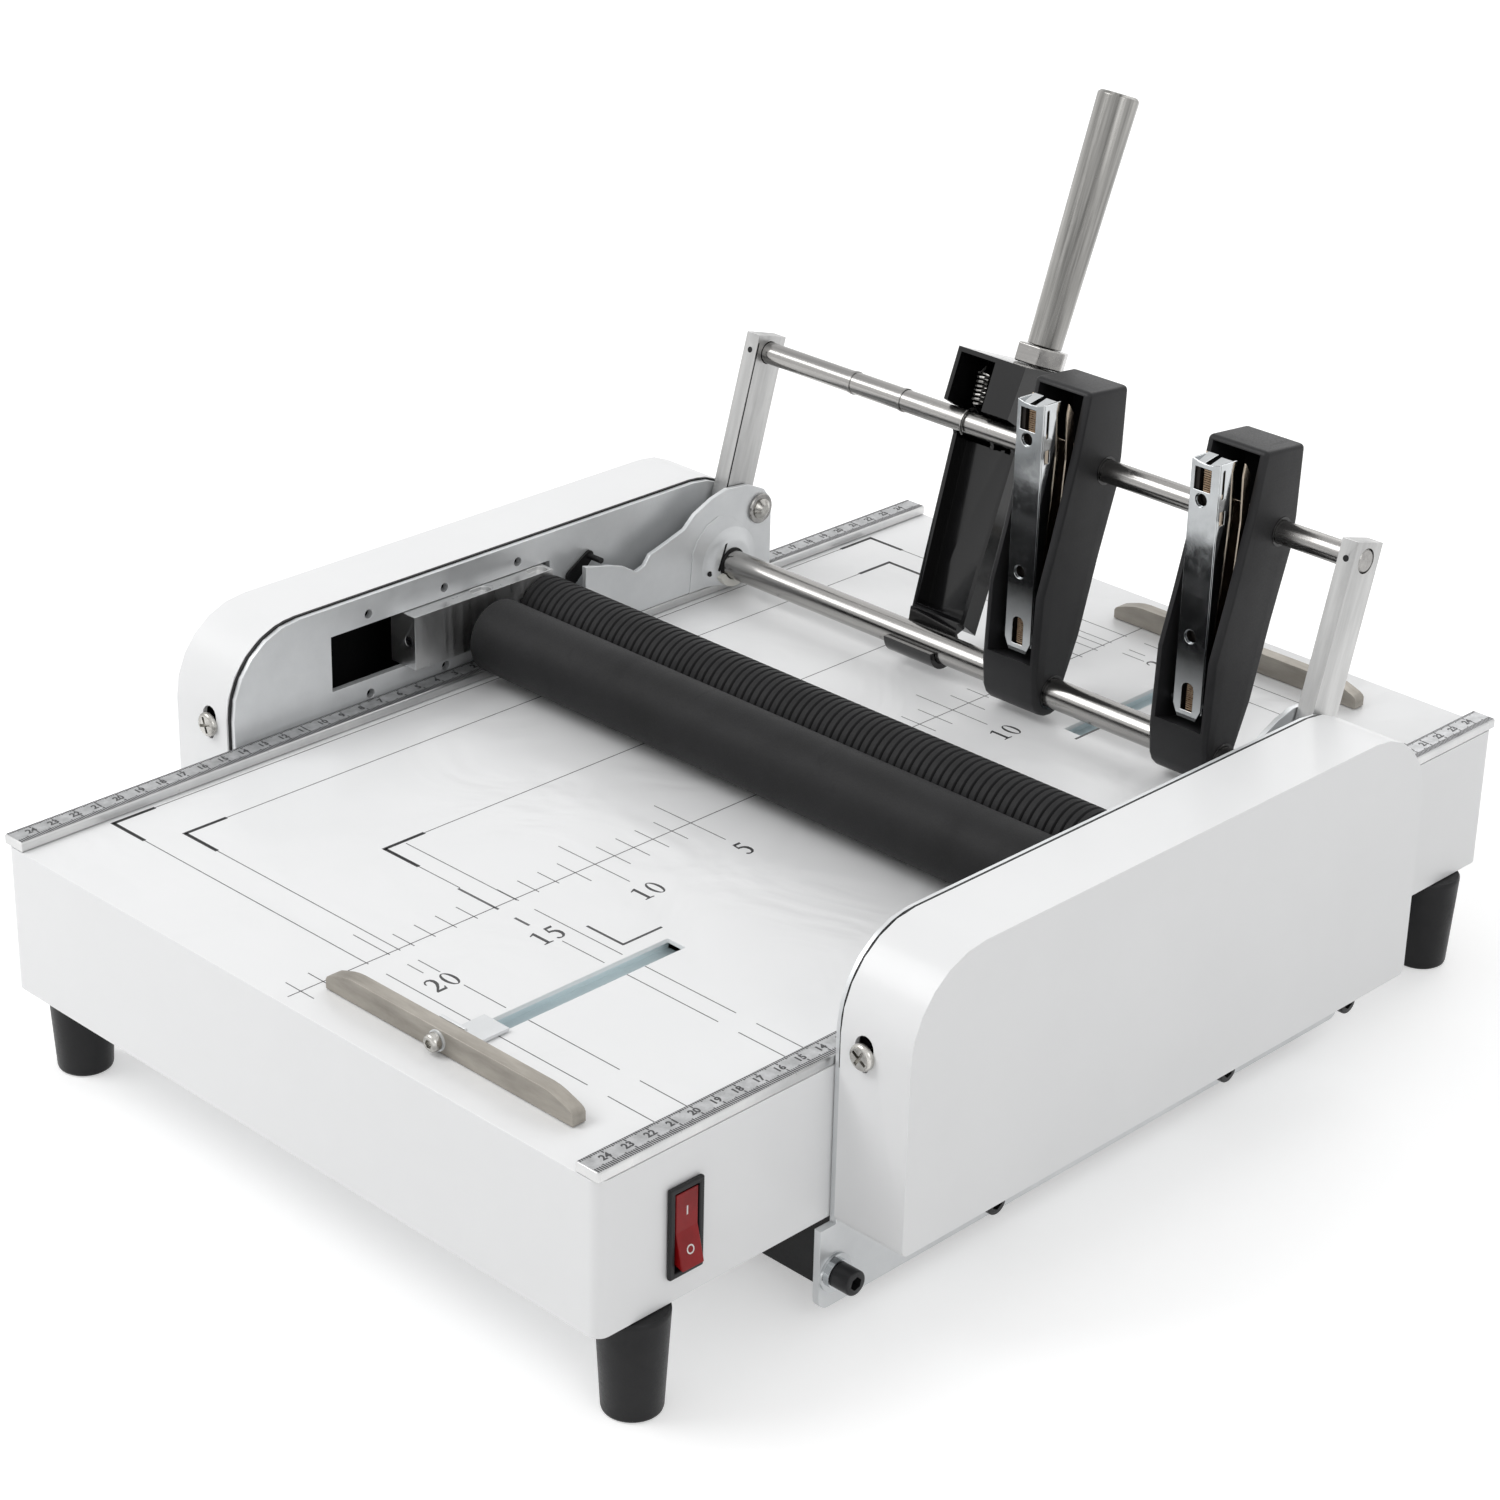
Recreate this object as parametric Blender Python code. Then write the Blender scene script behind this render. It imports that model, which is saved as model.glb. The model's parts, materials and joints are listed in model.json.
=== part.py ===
"""Booklet maker: a white table with two folding rollers and a swinging head with two staplers.

Every piece is built in the frame of the empty that carries it. The frame empty lies in the table's top face,
with X along the rollers, Y in the direction that the paper is fed and the fold line at Y = 0.
"""

import math

import bmesh
import bpy
from mathutils import Vector
from mathutils.geometry import tessellate_polygon

# Clearances and the overrun of every cutter
GAP = 0.0003
SLACK = 0.0005
OVERRUN = 0.004

# Table body, base sheet and feet
TABLE_WIDTH = 0.3244
TABLE_LENGTH = 0.500
TABLE_DEPTH = 0.0605
TABLE_WALL = 0.002
TABLE_CORNER = 0.005
BASE_THICKNESS = 0.002
FOOT_HEIGHT = 0.0405
FOOT_TOP_RADIUS = 0.0130
FOOT_BOTTOM_RADIUS = 0.0109
FOOT_SIDE_INSET = 0.0082
FOOT_END_INSET = 0.0237
FOOT_CHAMFER = 0.0012

# Rulers
RULER_WIDTH = 0.0108
RULER_HEIGHT = 0.0039
RULER_CORNER = 0.001

# Side plates: one each side of the body, from the foot below it to the top of the covers
PLATE_THICKNESS = 0.003
PLATE_TOP = 0.049
PLATE_BOTTOM = 0.095
PLATE_NEAR = 0.141
PLATE_FAR = 0.145
PLATE_CORNER = 0.034
PLATE_FOOT_OUT = 0.0075
PLATE_FOOT_TOP = 0.062
PLATE_FOOT_CORNER = 0.005
PLATE_HOLE_RADIUS = 0.002
PLATE_HOLE_ROWS = (0.041, 0.006)
PLATE_HOLE_Y = -0.0317
PLATE_HOLE_PITCH = 0.0402

# Side covers
COVER_WIDTH = 0.0318
COVER_WALL = 0.002
COVER_TOP = 0.0497
COVER_BOTTOM = 0.0603
COVER_NEAR = 0.1424
COVER_FAR = 0.1468
COVER_CORNER = 0.035
COVER_LOWER_CORNER = 0.003
COVER_EDGE = 0.0015
KEYHOLE_Z = 0.0135
KEYHOLE_INSET = 0.0210
KEYHOLE_RADIUS = 0.0042
KEYHOLE_SLOT_RADIUS = 0.0022
KEYHOLE_LENGTH = 0.0075

# Drive tray under the body, with what it holds
TRAY_LENGTH = 0.278
TRAY_HEIGHT = 0.0320
TRAY_WALL = 0.0015
SUPPLY_WIDTH = 0.100
SUPPLY_LENGTH = 0.120
SUPPLY_HEIGHT = 0.021
SUPPLY_X = -0.070
BOARD_WIDTH = 0.110
BOARD_LENGTH = 0.100
BOARD_THICKNESS = 0.0016
BOARD_X = 0.075
BOARD_PILLAR_RADIUS = 0.004
BOARD_PILLAR_HEIGHT = 0.004
BOARD_CHIP_SIZE = 0.030
BOARD_CHIP_HEIGHT = 0.012

# Folding rollers, their gap over the table and their nip
ROLLER_PLATE_GAP = 0.0075
FRONT_ROLLER_RADIUS = 0.0156
REAR_ROLLER_RADIUS = 0.0152
ROLLER_NIP = 0.0005
PAPER_GAP = 0.0043
JOURNAL_RADIUS = 0.005
ROLLER_CHAMFER = 0.001

# Roller carriage: bearing blocks that slide in the windows of the side plates
WINDOW_HEIGHT = 0.024
WINDOW_BOTTOM = 0.0126
WINDOW_FAR = 0.0263
CARRIAGE_TRAVEL = 0.037
BLOCK_LENGTH = 0.0758
BLOCK_FAR = 0.0218
BLOCK_WELL_WIDTH = 0.0062
BLOCK_WELL_LENGTH = 0.0095
BLOCK_WELL_DEPTH = 0.002
BLOCK_SCREW_RADIUS = 0.0026

# Lower rod (the head's axis), upper rod and arms
ROD_Y = 0.121
ROD_Z = 0.013
ROD_SPACING = 0.09305
HEAD_LEAN_DEG = 16.1
HEAD_SWING_DEG = 92.8
LOWER_ROD_RADIUS = 0.0062
UPPER_ROD_RADIUS = 0.00475
ARM_WIDTH = 0.0170
ARM_THICKNESS = 0.0073
ARM_TOP = 0.0073
ARM_PLATE_GAP = 0.0015
ARM_CHAMFER = 0.0006
SET_SCREW_RADIUS = 0.0012
SET_SCREW_DEPTH = 0.0014
RING_RADIUS = 0.0052
RING_WIDTH = 0.0016
RING_PLACES = (-0.1028, -0.0742)

# Wavy pivot brackets, their standoff and the stop bolt that the arm leans on
BRACKET_THICKNESS = 0.0022
BRACKET_NEAR = 0.0362
BRACKET_FAR = 0.1475
BRACKET_TOP = 0.0471
BRACKET_WAVE_SHARES = (
    (0.0, 0.70), (0.128, 0.62), (0.206, 0.55), (0.268, 0.45), (0.310, 0.48), (0.341, 0.58),
    (0.425, 0.64), (0.525, 0.72), (0.578, 0.84), (0.673, 0.95), (0.754, 1.0), (0.87, 0.97),
    (0.96, 0.86), (1.0, 0.72),
)
BRACKET_NOTCH_SHARES = ((0.570, 0.0), (0.588, 0.45), (0.650, 0.60), (0.700, 0.65), (0.810, 0.52), (0.855, 0.0))
STANDOFF_RADIUS = 0.004
STANDOFF_Y = 0.060
STANDOFF_Z = 0.0115
STOP_BOLT_RADIUS = 0.004
STOP_BOLT_ALONG = 0.0245
STOP_BOLT_HEAD_RADIUS = 0.0047
STOP_BOLT_HEAD_HEIGHT = 0.0034

# Cranks on the ends of the lower rod and the link bars that they push
CRANK_RADIUS = 0.0219
CRANK_TILT_DEG = 30.0
CRANK_THICKNESS = 0.0038
CRANK_GAP = 0.0009
CRANK_HUB_RADIUS = 0.0105
CRANK_TIP_RADIUS = 0.0045
CRANK_PIN_RADIUS = 0.0025
CRANK_PIN_SLACK = 0.0011
LINK_GAP = 0.0006
LINK_THICKNESS = 0.003
LINK_BOTTOM = 0.027
LINK_HEIGHT = 0.008
LINK_EYE_WALL = 0.003
LINK_SLOT_SPARE = 0.0012

# Gears: one module, flat-sided teeth with play
GEAR_TEETH_ROLLER = 20
GEAR_TEETH_IDLER = 21
GEAR_TEETH_PINION = 14
GEAR_WIDTH = 0.007
GEAR_GAP = 0.0015
GEAR_TIP_SHARE = 0.80
GEAR_ROOT_SHARE = 1.10
TOOTH_TIP_SHARE = 0.20
TOOTH_PITCH_SHARE = 0.38
TOOTH_ROOT_SHARE = 0.54
IDLER_OFFSET = 0.014
STUD_RADIUS = 0.0035
STUD_SHOULDER_RADIUS = 0.0055
STUD_END = 0.001

# Gear motor in the body
MOTOR_RADIUS = 0.0180
MOTOR_LENGTH = 0.046
GEARBOX_RADIUS = 0.0200
GEARBOX_LENGTH = 0.030
GEARBOX_SEAT = 0.0012
GEARBOX_BASE_GAP = 0.001
MOTOR_SHAFT_RADIUS = 0.003
MOTOR_SHAFT_DEPTH = 0.010

# Fold blade, its holder, guide and lift shaft, and the anvil under the staple line
BLADE_END_GAP = 0.0062
BLADE_THICKNESS = 0.0012
BLADE_HEIGHT = 0.0255
BLADE_TIP = 0.0028
BLADE_LIFT = 0.014
HOLDER_END_GAP = 0.001
HOLDER_WIDTH = 0.009
HOLDER_HEIGHT = 0.012
HOLDER_GRIP = 0.0043
ANVIL_RULER_GAP = 0.0014
ANVIL_WIDTH = 0.0105
ANVIL_NEAR = 0.0120
ANVIL_FLANGE = 0.008
ANVIL_HEIGHT = 0.008
ANVIL_FLANGE_DROP = 0.0023
ANVIL_SUNK = 0.0001
GUIDE_THICKNESS = 0.002
GUIDE_FLANGE = 0.0145
GUIDE_HEIGHT = 0.018
GUIDE_LEG_WIDTH = 0.010
GUIDE_LEG_LENGTH = 0.046
LIFT_ARM = 0.035
LIFT_SHAFT_RADIUS = 0.005
LIFT_HUB_RADIUS = 0.0065
LIFT_ROLLER_RADIUS = 0.003
LIFT_NECK = 0.003
LIFT_ARM_THICKNESS = 0.005
LIFT_ARM_X = 0.095
LIFT_GAP = 0.0004

# Staplers: housings and magazines
STAPLER_1_X = 0.0203
STAPLER_2_ARM_GAP = 0.0467
STAPLER_1_WIDTH = 0.0286
STAPLER_2_WIDTH = 0.0286
HOUSING_WALL = 0.003
HOUSING_LENGTH = 0.1281
HOUSING_FRONT = 0.0215
HOUSING_BACK = 0.0097
HOUSING_FRONT_SHARES = ((0.966, 1.06), (0.768, 0.986), (0.484, 0.981), (0.305, 1.01), (0.045, 0.637))
HOUSING_BACK_SHARES = ((0.042, 0.753), (0.189, 0.99), (0.451, 1.0), (0.674, 1.11), (0.775, 0.907), (1.0, 0.144))
HOUSING_HOLLOW_SHARES = ((0.956, 0.0), (0.765, 0.62), (0.196, 0.69), (0.082, 0.4))
HOUSING_HOLLOW_TOP_SHARE = 0.9475
HOUSING_NOSE_RADIUS = 0.0106
HOUSING_CHIN = 0.0105
MAGAZINE_WIDTH = 0.0134
MAGAZINE_LENGTH = 0.1072
MAGAZINE_DEPTH = 0.0110
MAGAZINE_FORWARD = 0.0105
MAGAZINE_FOOT = 0.0130
MAGAZINE_PIN_RADIUS = 0.002
MAGAZINE_PIN_IN = 0.0045
MAGAZINE_WINDOW_WIDTH = 0.0064
MAGAZINE_WINDOW_HEIGHT = 0.0092
MAGAZINE_WINDOW_DOWN = 0.0062
MAGAZINE_WINDOW_DEPTH = 0.0012
MAGAZINE_HOLE_RADIUS = 0.0022
MAGAZINE_HOLE_SHARES = (0.80, 0.30)
MAGAZINE_FLARE = 0.0008
FOLLOWER_WIDTH = 0.0196
FOLLOWER_DEPTH = 0.0055
FOLLOWER_FOOT = 0.012
FOLLOWER_TOP = 0.006

# Handle bracket, in the head's frame: measured from the lower rod along the arms
HANDLE_BRACKET_LEFT = -0.050
HANDLE_BRACKET_WIDTH = 0.036
HANDLE_BRACKET_TAPER = 0.008
HANDLE_BRACKET_WALL = 0.002
HANDLE_BRACKET_TOP = 0.1199
HANDLE_BRACKET_FRONT = 0.0037
HANDLE_BRACKET_DEPTH = 0.0380
HANDLE_BRACKET_BACK = 0.0155
HANDLE_BRACKET_FLARE_LOW = 0.080
HANDLE_BRACKET_FLARE_HIGH = 0.090
HANDLE_BRACKET_FACE = 0.0056
HANDLE_BRACKET_FOOT = 0.0108
HANDLE_BRACKET_HEEL = 0.0062
HANDLE_RECESS_WIDTH = 0.0185
HANDLE_PANEL_FOOT = 0.0845
CLIP_RADIUS = 0.0088
CLIP_WIDTH = 0.0262
HANDLE_X = -0.031
HANDLE_BACK = 0.0269
HANDLE_LEAN_DEG = 5.0
HANDLE_LENGTH = 0.107
HANDLE_BASE_RADIUS = 0.0073
HANDLE_TOP_RADIUS = 0.00885
HANDLE_STUD_RADIUS = 0.004
HANDLE_STUD_END = 0.003
HANDLE_EDGE = 0.0012
NUT_FLATS = 0.0199
NUT_HEIGHT = 0.008
SPRING_X = -0.0385
SPRING_WIRE = 0.0011
SPRING_RADIUS = 0.0026
SPRING_CURLS = 7
SPRING_CURL_POINTS = 9
SPRING_HOOK_CLEARANCE = 0.0004


# Trip lever on the left side plate, pushed down by the arm
LEVER_Y = 0.0385
LEVER_Z = 0.026
LEVER_REACH = 0.0118
LEVER_RISE_DEG = 36.4
LEVER_THICKNESS = 0.0011
LEVER_HUB_RADIUS = 0.0036
LEVER_TIP_RADIUS = 0.0024
LEVER_PIN_RADIUS = 0.0013
LEVER_STUB_RADIUS = 0.002

# Paper stops: bar, slider and screw, front and rear
STOP_HEIGHT = 0.009
STOP_THICKNESS = 0.006
STOP_SLOT_WIDTH = 0.009
STOP_SLOT_LENGTH = 0.0985
STOP_SLOT_END_INSET = 0.0315
STOP_SLIDER_LENGTH = 0.012
STOP_SLIDER_DEPTH = 0.006
STOP_SLIDER_PLATE = 0.0015
STOP_SLIDER_WIDTH = 0.013
STOP_SCREW_RADIUS = 0.002
STOP_SCREW_HEAD_RADIUS = 0.004
STOP_SCREW_HEAD_HEIGHT = 0.004
FRONT_STOP_SLOT_X = 0.0645
FRONT_STOP_RULER_GAP = 0.0199
FRONT_STOP_LENGTH = 0.1265
FRONT_STOP_INSET = 0.0233
REAR_STOP_SLOT_X = 0.0475
REAR_STOP_LEFT = -0.015
REAR_STOP_LENGTH = 0.128
REAR_STOP_INSET = 0.0283

# Power switch on the right side of the body and mains inlet on its back
SWITCH_FRONT_INSET = 0.0382
SWITCH_RISE = 0.028
SWITCH_WIDTH = 0.0155
SWITCH_HEIGHT = 0.035
SWITCH_FRAME = 0.0022
SWITCH_PROUD = 0.002
SWITCH_DEPTH = 0.014
ROCKER_ANGLE_DEG = 14.0
ROCKER_END_SHARE = 0.92
ROCKER_DEPTH = 0.009
INLET_SIDE_INSET = 0.0522
INLET_Z = -0.030
INLET_WIDTH = 0.0275
INLET_HEIGHT = 0.0200
INLET_WALL = 0.0025
INLET_DEPTH = 0.016

# Mesh fineness
ROUND_STEPS = 32
SMALL_STEPS = 16
ARC_STEPS = 6
SMOOTH_ANGLE_DEG = 35.0
EDGE_NORMAL_SHARE = 0.5

# Places worked out from the sizes above
TABLE_TOP = FOOT_HEIGHT + GAP + TABLE_DEPTH
HALF_TABLE = TABLE_WIDTH / 2
HALF_LENGTH = TABLE_LENGTH / 2
FOOT_X = HALF_TABLE - FOOT_SIDE_INSET
FOOT_Y = HALF_LENGTH - FOOT_END_INSET
STOP_SLOT_END = HALF_LENGTH - STOP_SLOT_END_INSET
STOP_SLOT_START = STOP_SLOT_END - STOP_SLOT_LENGTH
FRONT_STOP_LEFT = HALF_TABLE - RULER_WIDTH - FRONT_STOP_RULER_GAP - FRONT_STOP_LENGTH
FRONT_STOP_FACE = HALF_LENGTH - FRONT_STOP_INSET
REAR_STOP_FACE = HALF_LENGTH - REAR_STOP_INSET
SWITCH_Y = SWITCH_FRONT_INSET - HALF_LENGTH
SWITCH_Z = SWITCH_RISE - TABLE_DEPTH
INLET_X = INLET_SIDE_INSET - HALF_TABLE
PLATE_IN = HALF_TABLE + SLACK
PLATE_OUT = PLATE_IN + PLATE_THICKNESS
ROLLER_LENGTH = 2 * (PLATE_IN - ROLLER_PLATE_GAP)
BLADE_LENGTH = ROLLER_LENGTH - 2 * BLADE_END_GAP
HOLDER_LENGTH = BLADE_LENGTH - 2 * HOLDER_END_GAP
ANVIL_LENGTH = 2 * (HALF_TABLE - RULER_WIDTH - ANVIL_RULER_GAP)
ARM_OUT = PLATE_IN - ARM_PLATE_GAP
ARM_IN = ARM_OUT - ARM_THICKNESS
STAPLER_PLACES = (STAPLER_1_X, ARM_IN - STAPLER_2_ARM_GAP)
STAPLER_WIDTHS = (STAPLER_1_WIDTH, STAPLER_2_WIDTH)
BRACKET_OUT = ARM_IN - SLACK
BRACKET_IN = BRACKET_OUT - BRACKET_THICKNESS
CRANK_IN = PLATE_OUT + CRANK_GAP
CRANK_OUT = CRANK_IN + CRANK_THICKNESS
LINK_IN = CRANK_OUT + LINK_GAP
LINK_OUT = LINK_IN + LINK_THICKNESS
GEAR_IN = LINK_OUT + GEAR_GAP
GEAR_OUT = GEAR_IN + GEAR_WIDTH
COVER_IN = PLATE_OUT + GAP
COVER_OUT = COVER_IN + COVER_WIDTH
NIP_HALF = (FRONT_ROLLER_RADIUS + REAR_ROLLER_RADIUS + ROLLER_NIP) / 2
ROLLER_Z = PAPER_GAP + FRONT_ROLLER_RADIUS
BLOCK_IN = ROLLER_LENGTH / 2 + GAP
BLOCK_NEAR = BLOCK_FAR - BLOCK_LENGTH
WINDOW_NEAR = BLOCK_NEAR - CARRIAGE_TRAVEL - SLACK
GEAR_MODULE = 2 * NIP_HALF / GEAR_TEETH_ROLLER
HEAD_LEAN = math.radians(HEAD_LEAN_DEG)
HEAD_SWING = math.radians(HEAD_SWING_DEG)
BASE_TOP = BASE_THICKNESS - TABLE_DEPTH


def clear_scene():
    for item in list(bpy.data.objects):
        bpy.data.objects.remove(item)
    for block in (bpy.data.meshes, bpy.data.curves, bpy.data.materials):
        for item in list(block):
            block.remove(item)


def material(name, colour, roughness, metallic=0.0):
    made = bpy.data.materials.new(name)
    made.use_nodes = True
    shader = made.node_tree.nodes["Principled BSDF"]
    shader.inputs["Base Color"].default_value = (*colour, 1.0)
    shader.inputs["Roughness"].default_value = roughness
    shader.inputs["Metallic"].default_value = metallic
    made.diffuse_color = (*colour, 1.0)
    return made


def empty(name, place, parent=None, lean=0.0):
    """A bare axis or frame that carries pieces; lean turns it about X, top backwards."""
    made = bpy.data.objects.new(name, None)
    bpy.context.scene.collection.objects.link(made)
    made.location = place
    made.rotation_euler.x = -lean
    made.parent = parent
    return made


# Outlines: lists of points in a plane

def arc(centre, radius, start, end, steps):
    """Points on a circle between two angles, in turns of the whole circle measured in radians."""
    angles = [start + (end - start) * i / steps for i in range(steps + 1)]
    return [(centre[0] + radius * math.cos(a), centre[1] + radius * math.sin(a)) for a in angles]


def circle(centre, radius, steps=SMALL_STEPS):
    return arc(centre, radius, 0.0, math.tau, steps)[:-1]


def rectangle(low, high):
    return [(low[0], low[1]), (high[0], low[1]), (high[0], high[1]), (low[0], high[1])]


def filleted(corners, steps=ARC_STEPS):
    """An outline from (a, b, radius) corners, each corner rounded to its radius."""
    points = []
    for i, (a, b, radius) in enumerate(corners):
        here = Vector((a, b))
        if radius == 0:
            points.append((a, b))
            continue
        before = (Vector(corners[i - 1][:2]) - here).normalized()
        after = (Vector(corners[(i + 1) % len(corners)][:2]) - here).normalized()
        half = before.angle(after) / 2
        centre = here + (before + after).normalized() * radius / math.sin(half)
        first = here + before * radius / math.tan(half) - centre
        last = here + after * radius / math.tan(half) - centre
        turn = first.angle_signed(last)
        for k in range(steps + 1):
            angle = math.atan2(first.y, first.x) - turn * k / steps
            points.append((centre.x + radius * math.cos(angle), centre.y + radius * math.sin(angle)))
    return points


def rounded_box(low, high, radius, steps=ARC_STEPS):
    return filleted([(a, b, radius) for a, b in rectangle(low, high)], steps)


def capsule(first, first_radius, last, last_radius, steps=SMALL_STEPS // 2):
    """The outline round two circles and the two lines that touch both."""
    across = Vector(last) - Vector(first)
    heading = math.atan2(across.y, across.x)
    spread = math.acos((first_radius - last_radius) / across.length)
    end = arc(last, last_radius, heading - spread, heading + spread, steps)
    start = arc(first, first_radius, heading + spread, heading + math.tau - spread, steps)
    return end + start


def lever_arm(first, first_radius, last, last_radius, neck):
    """The outline of a hub and a round tip with a straight neck between them."""
    across = Vector(last) - Vector(first)
    heading = math.atan2(across.y, across.x)
    hub = math.asin(neck / 2 / first_radius)
    tip = math.pi - math.asin(neck / 2 / last_radius)
    end = arc(last, last_radius, heading - tip, heading + tip, SMALL_STEPS)
    start = arc(first, first_radius, heading + hub, heading + math.tau - hub, SMALL_STEPS)
    return end + start


def gear_outline(teeth, phase):
    """Straight-sided teeth round a circle, one tooth's middle at the angle called phase."""
    pitch_radius = GEAR_MODULE * teeth / 2
    root = pitch_radius - GEAR_MODULE * GEAR_ROOT_SHARE
    tip = pitch_radius + GEAR_MODULE * GEAR_TIP_SHARE
    step = math.tau / teeth
    points = []
    for k in range(teeth):
        middle = phase + k * step
        flank = (
            (root, -TOOTH_ROOT_SHARE), (pitch_radius, -TOOTH_PITCH_SHARE), (tip, -TOOTH_TIP_SHARE),
            (tip, TOOTH_TIP_SHARE), (pitch_radius, TOOTH_PITCH_SHARE), (root, TOOTH_ROOT_SHARE),
        )
        for radius, share in flank:
            angle = middle + share * step / 2
            points.append((radius * math.cos(angle), radius * math.sin(angle)))
    return points


def meshed_phase(phase, teeth, other_teeth, direction):
    """The phase of a gear that meshes with one of the given phase, in the given direction from it."""
    step = math.tau / teeth
    nearest = phase + round((direction - phase) / step) * step
    offset = (nearest - direction) * teeth / other_teeth
    return direction + math.pi - offset + math.pi / other_teeth


# Solids: each function adds one closed body to a bmesh

def spot(axis, along, first, second):
    """A point from its place along an axis and its two other coordinates, taken in the order X, Y, Z."""
    if axis == "x":
        return (along, first, second)
    if axis == "y":
        return (first, along, second)
    return (first, second, along)


def prism(axis, outline, low, high, holes=(), bosses=(), mesh=None):
    """A flat outline, with holes through it, carried along an axis from low to high.

    Each boss is a (centre, profile) pair: round, and standing on the face that its profile starts at.
    """
    mesh = mesh or bmesh.new()
    loops = [outline, *holes]
    faces = []
    walls = []
    for along in (low, high):
        ends = [[mesh.verts.new(spot(axis, along, a, b)) for a, b in loop] for loop in loops]
        walls.append(ends)
        feet_here = []
        for centre, profile in bosses:
            if profile[0][0] == along:
                feet_here.append(boss(mesh, axis, centre, profile, faces))
        corners = [corner for ring in (*ends, *feet_here) for corner in ring]
        rings = [[Vector(flat_place(axis, corner.co)) for corner in ring] for ring in (*ends, *feet_here)]
        for triple in tessellate_polygon(rings):
            faces.append(mesh.faces.new([corners[i] for i in triple]))
    for near, far in zip(*walls):
        count = len(near)
        for i in range(count):
            j = (i + 1) % count
            faces.append(mesh.faces.new((near[i], near[j], far[j], far[i])))
    bmesh.ops.recalc_face_normals(mesh, faces=faces)
    return mesh


def flat_place(axis, point):
    """A point's two coordinates across an axis, as a flat vector."""
    if axis == "x":
        return (point.y, point.z, 0.0)
    if axis == "y":
        return (point.x, point.z, 0.0)
    return (point.x, point.y, 0.0)


def boss(mesh, axis, centre, profile, faces):
    """A round boss from the (along, radius) points of its profile; the ring at its foot is returned."""
    rings = []
    for along, radius in profile:
        rings.append([mesh.verts.new(spot(axis, along, a, b)) for a, b in circle(centre, radius)])
    for one, other in zip(rings, rings[1:]):
        count = len(one)
        for i in range(count):
            j = (i + 1) % count
            faces.append(mesh.faces.new((one[i], one[j], other[j], other[i])))
    faces.append(mesh.faces.new(rings[-1]))
    return rings[0]


def box(low, high, mesh=None):
    return prism("z", rectangle(low[:2], high[:2]), low[2], high[2], mesh=mesh)


def turned(axis, centre, profile, steps=ROUND_STEPS, ring=False, mesh=None):
    """A profile of (along, radius) points turned about an axis; ring joins its last point to its first."""
    mesh = mesh or bmesh.new()
    rings = []
    for along, radius in profile:
        if radius == 0:
            rings.append([mesh.verts.new(spot(axis, along, centre[0], centre[1]))])
            continue
        rings.append([mesh.verts.new(spot(axis, along, a, b)) for a, b in circle(centre, radius, steps)])
    faces = []
    pairs = list(zip(rings, rings[1:]))
    if ring:
        pairs.append((rings[-1], rings[0]))
    for one, other in pairs:
        for i in range(steps):
            corners = [one[i % len(one)], one[(i + 1) % len(one)]]
            corners += [other[(i + 1) % len(other)], other[i % len(other)]]
            faces.append(mesh.faces.new(list(dict.fromkeys(corners))))
    bmesh.ops.recalc_face_normals(mesh, faces=faces)
    return mesh


def rod(axis, centre, radius, low, high, steps=ROUND_STEPS, chamfer=0.0):
    profile = [(low, 0), (low, radius - chamfer), (high, radius - chamfer), (high, 0)]
    if chamfer:
        profile.insert(2, (low + chamfer, radius))
        profile.insert(3, (high - chamfer, radius))
    return turned(axis, centre, profile, steps)


def as_object(name, mesh):
    data = bpy.data.meshes.new(name)
    mesh.to_mesh(data)
    mesh.free()
    made = bpy.data.objects.new(name, data)
    bpy.context.scene.collection.objects.link(made)
    return made


def piece(name, mesh, finish, carrier, cuts=(), joins=()):
    """A named piece on its carrier: joins are united with it, then cuts are taken from it."""
    made = as_object(name, mesh)
    made.parent = carrier
    made.data.materials.append(finish)
    tools = [("UNION", tool) for tool in joins] + [("DIFFERENCE", tool) for tool in cuts]
    for number, (operation, tool) in enumerate(tools):
        helper = as_object(f"{name}_tool_{number}", tool)
        helper.parent = carrier
        helper.hide_render = True
        helper.display_type = "WIRE"
        modifier = made.modifiers.new(f"tool_{number}", "BOOLEAN")
        modifier.operation = operation
        modifier.solver = "EXACT"
        modifier.object = helper
    made.data.shade_smooth()
    made.data.set_sharp_from_angle(angle=math.radians(SMOOTH_ANGLE_DEG))
    return made


def sided(side, values):
    """Places along X for one side of the machine, low one first."""
    return sorted(side * value for value in values)


# Table

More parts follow.
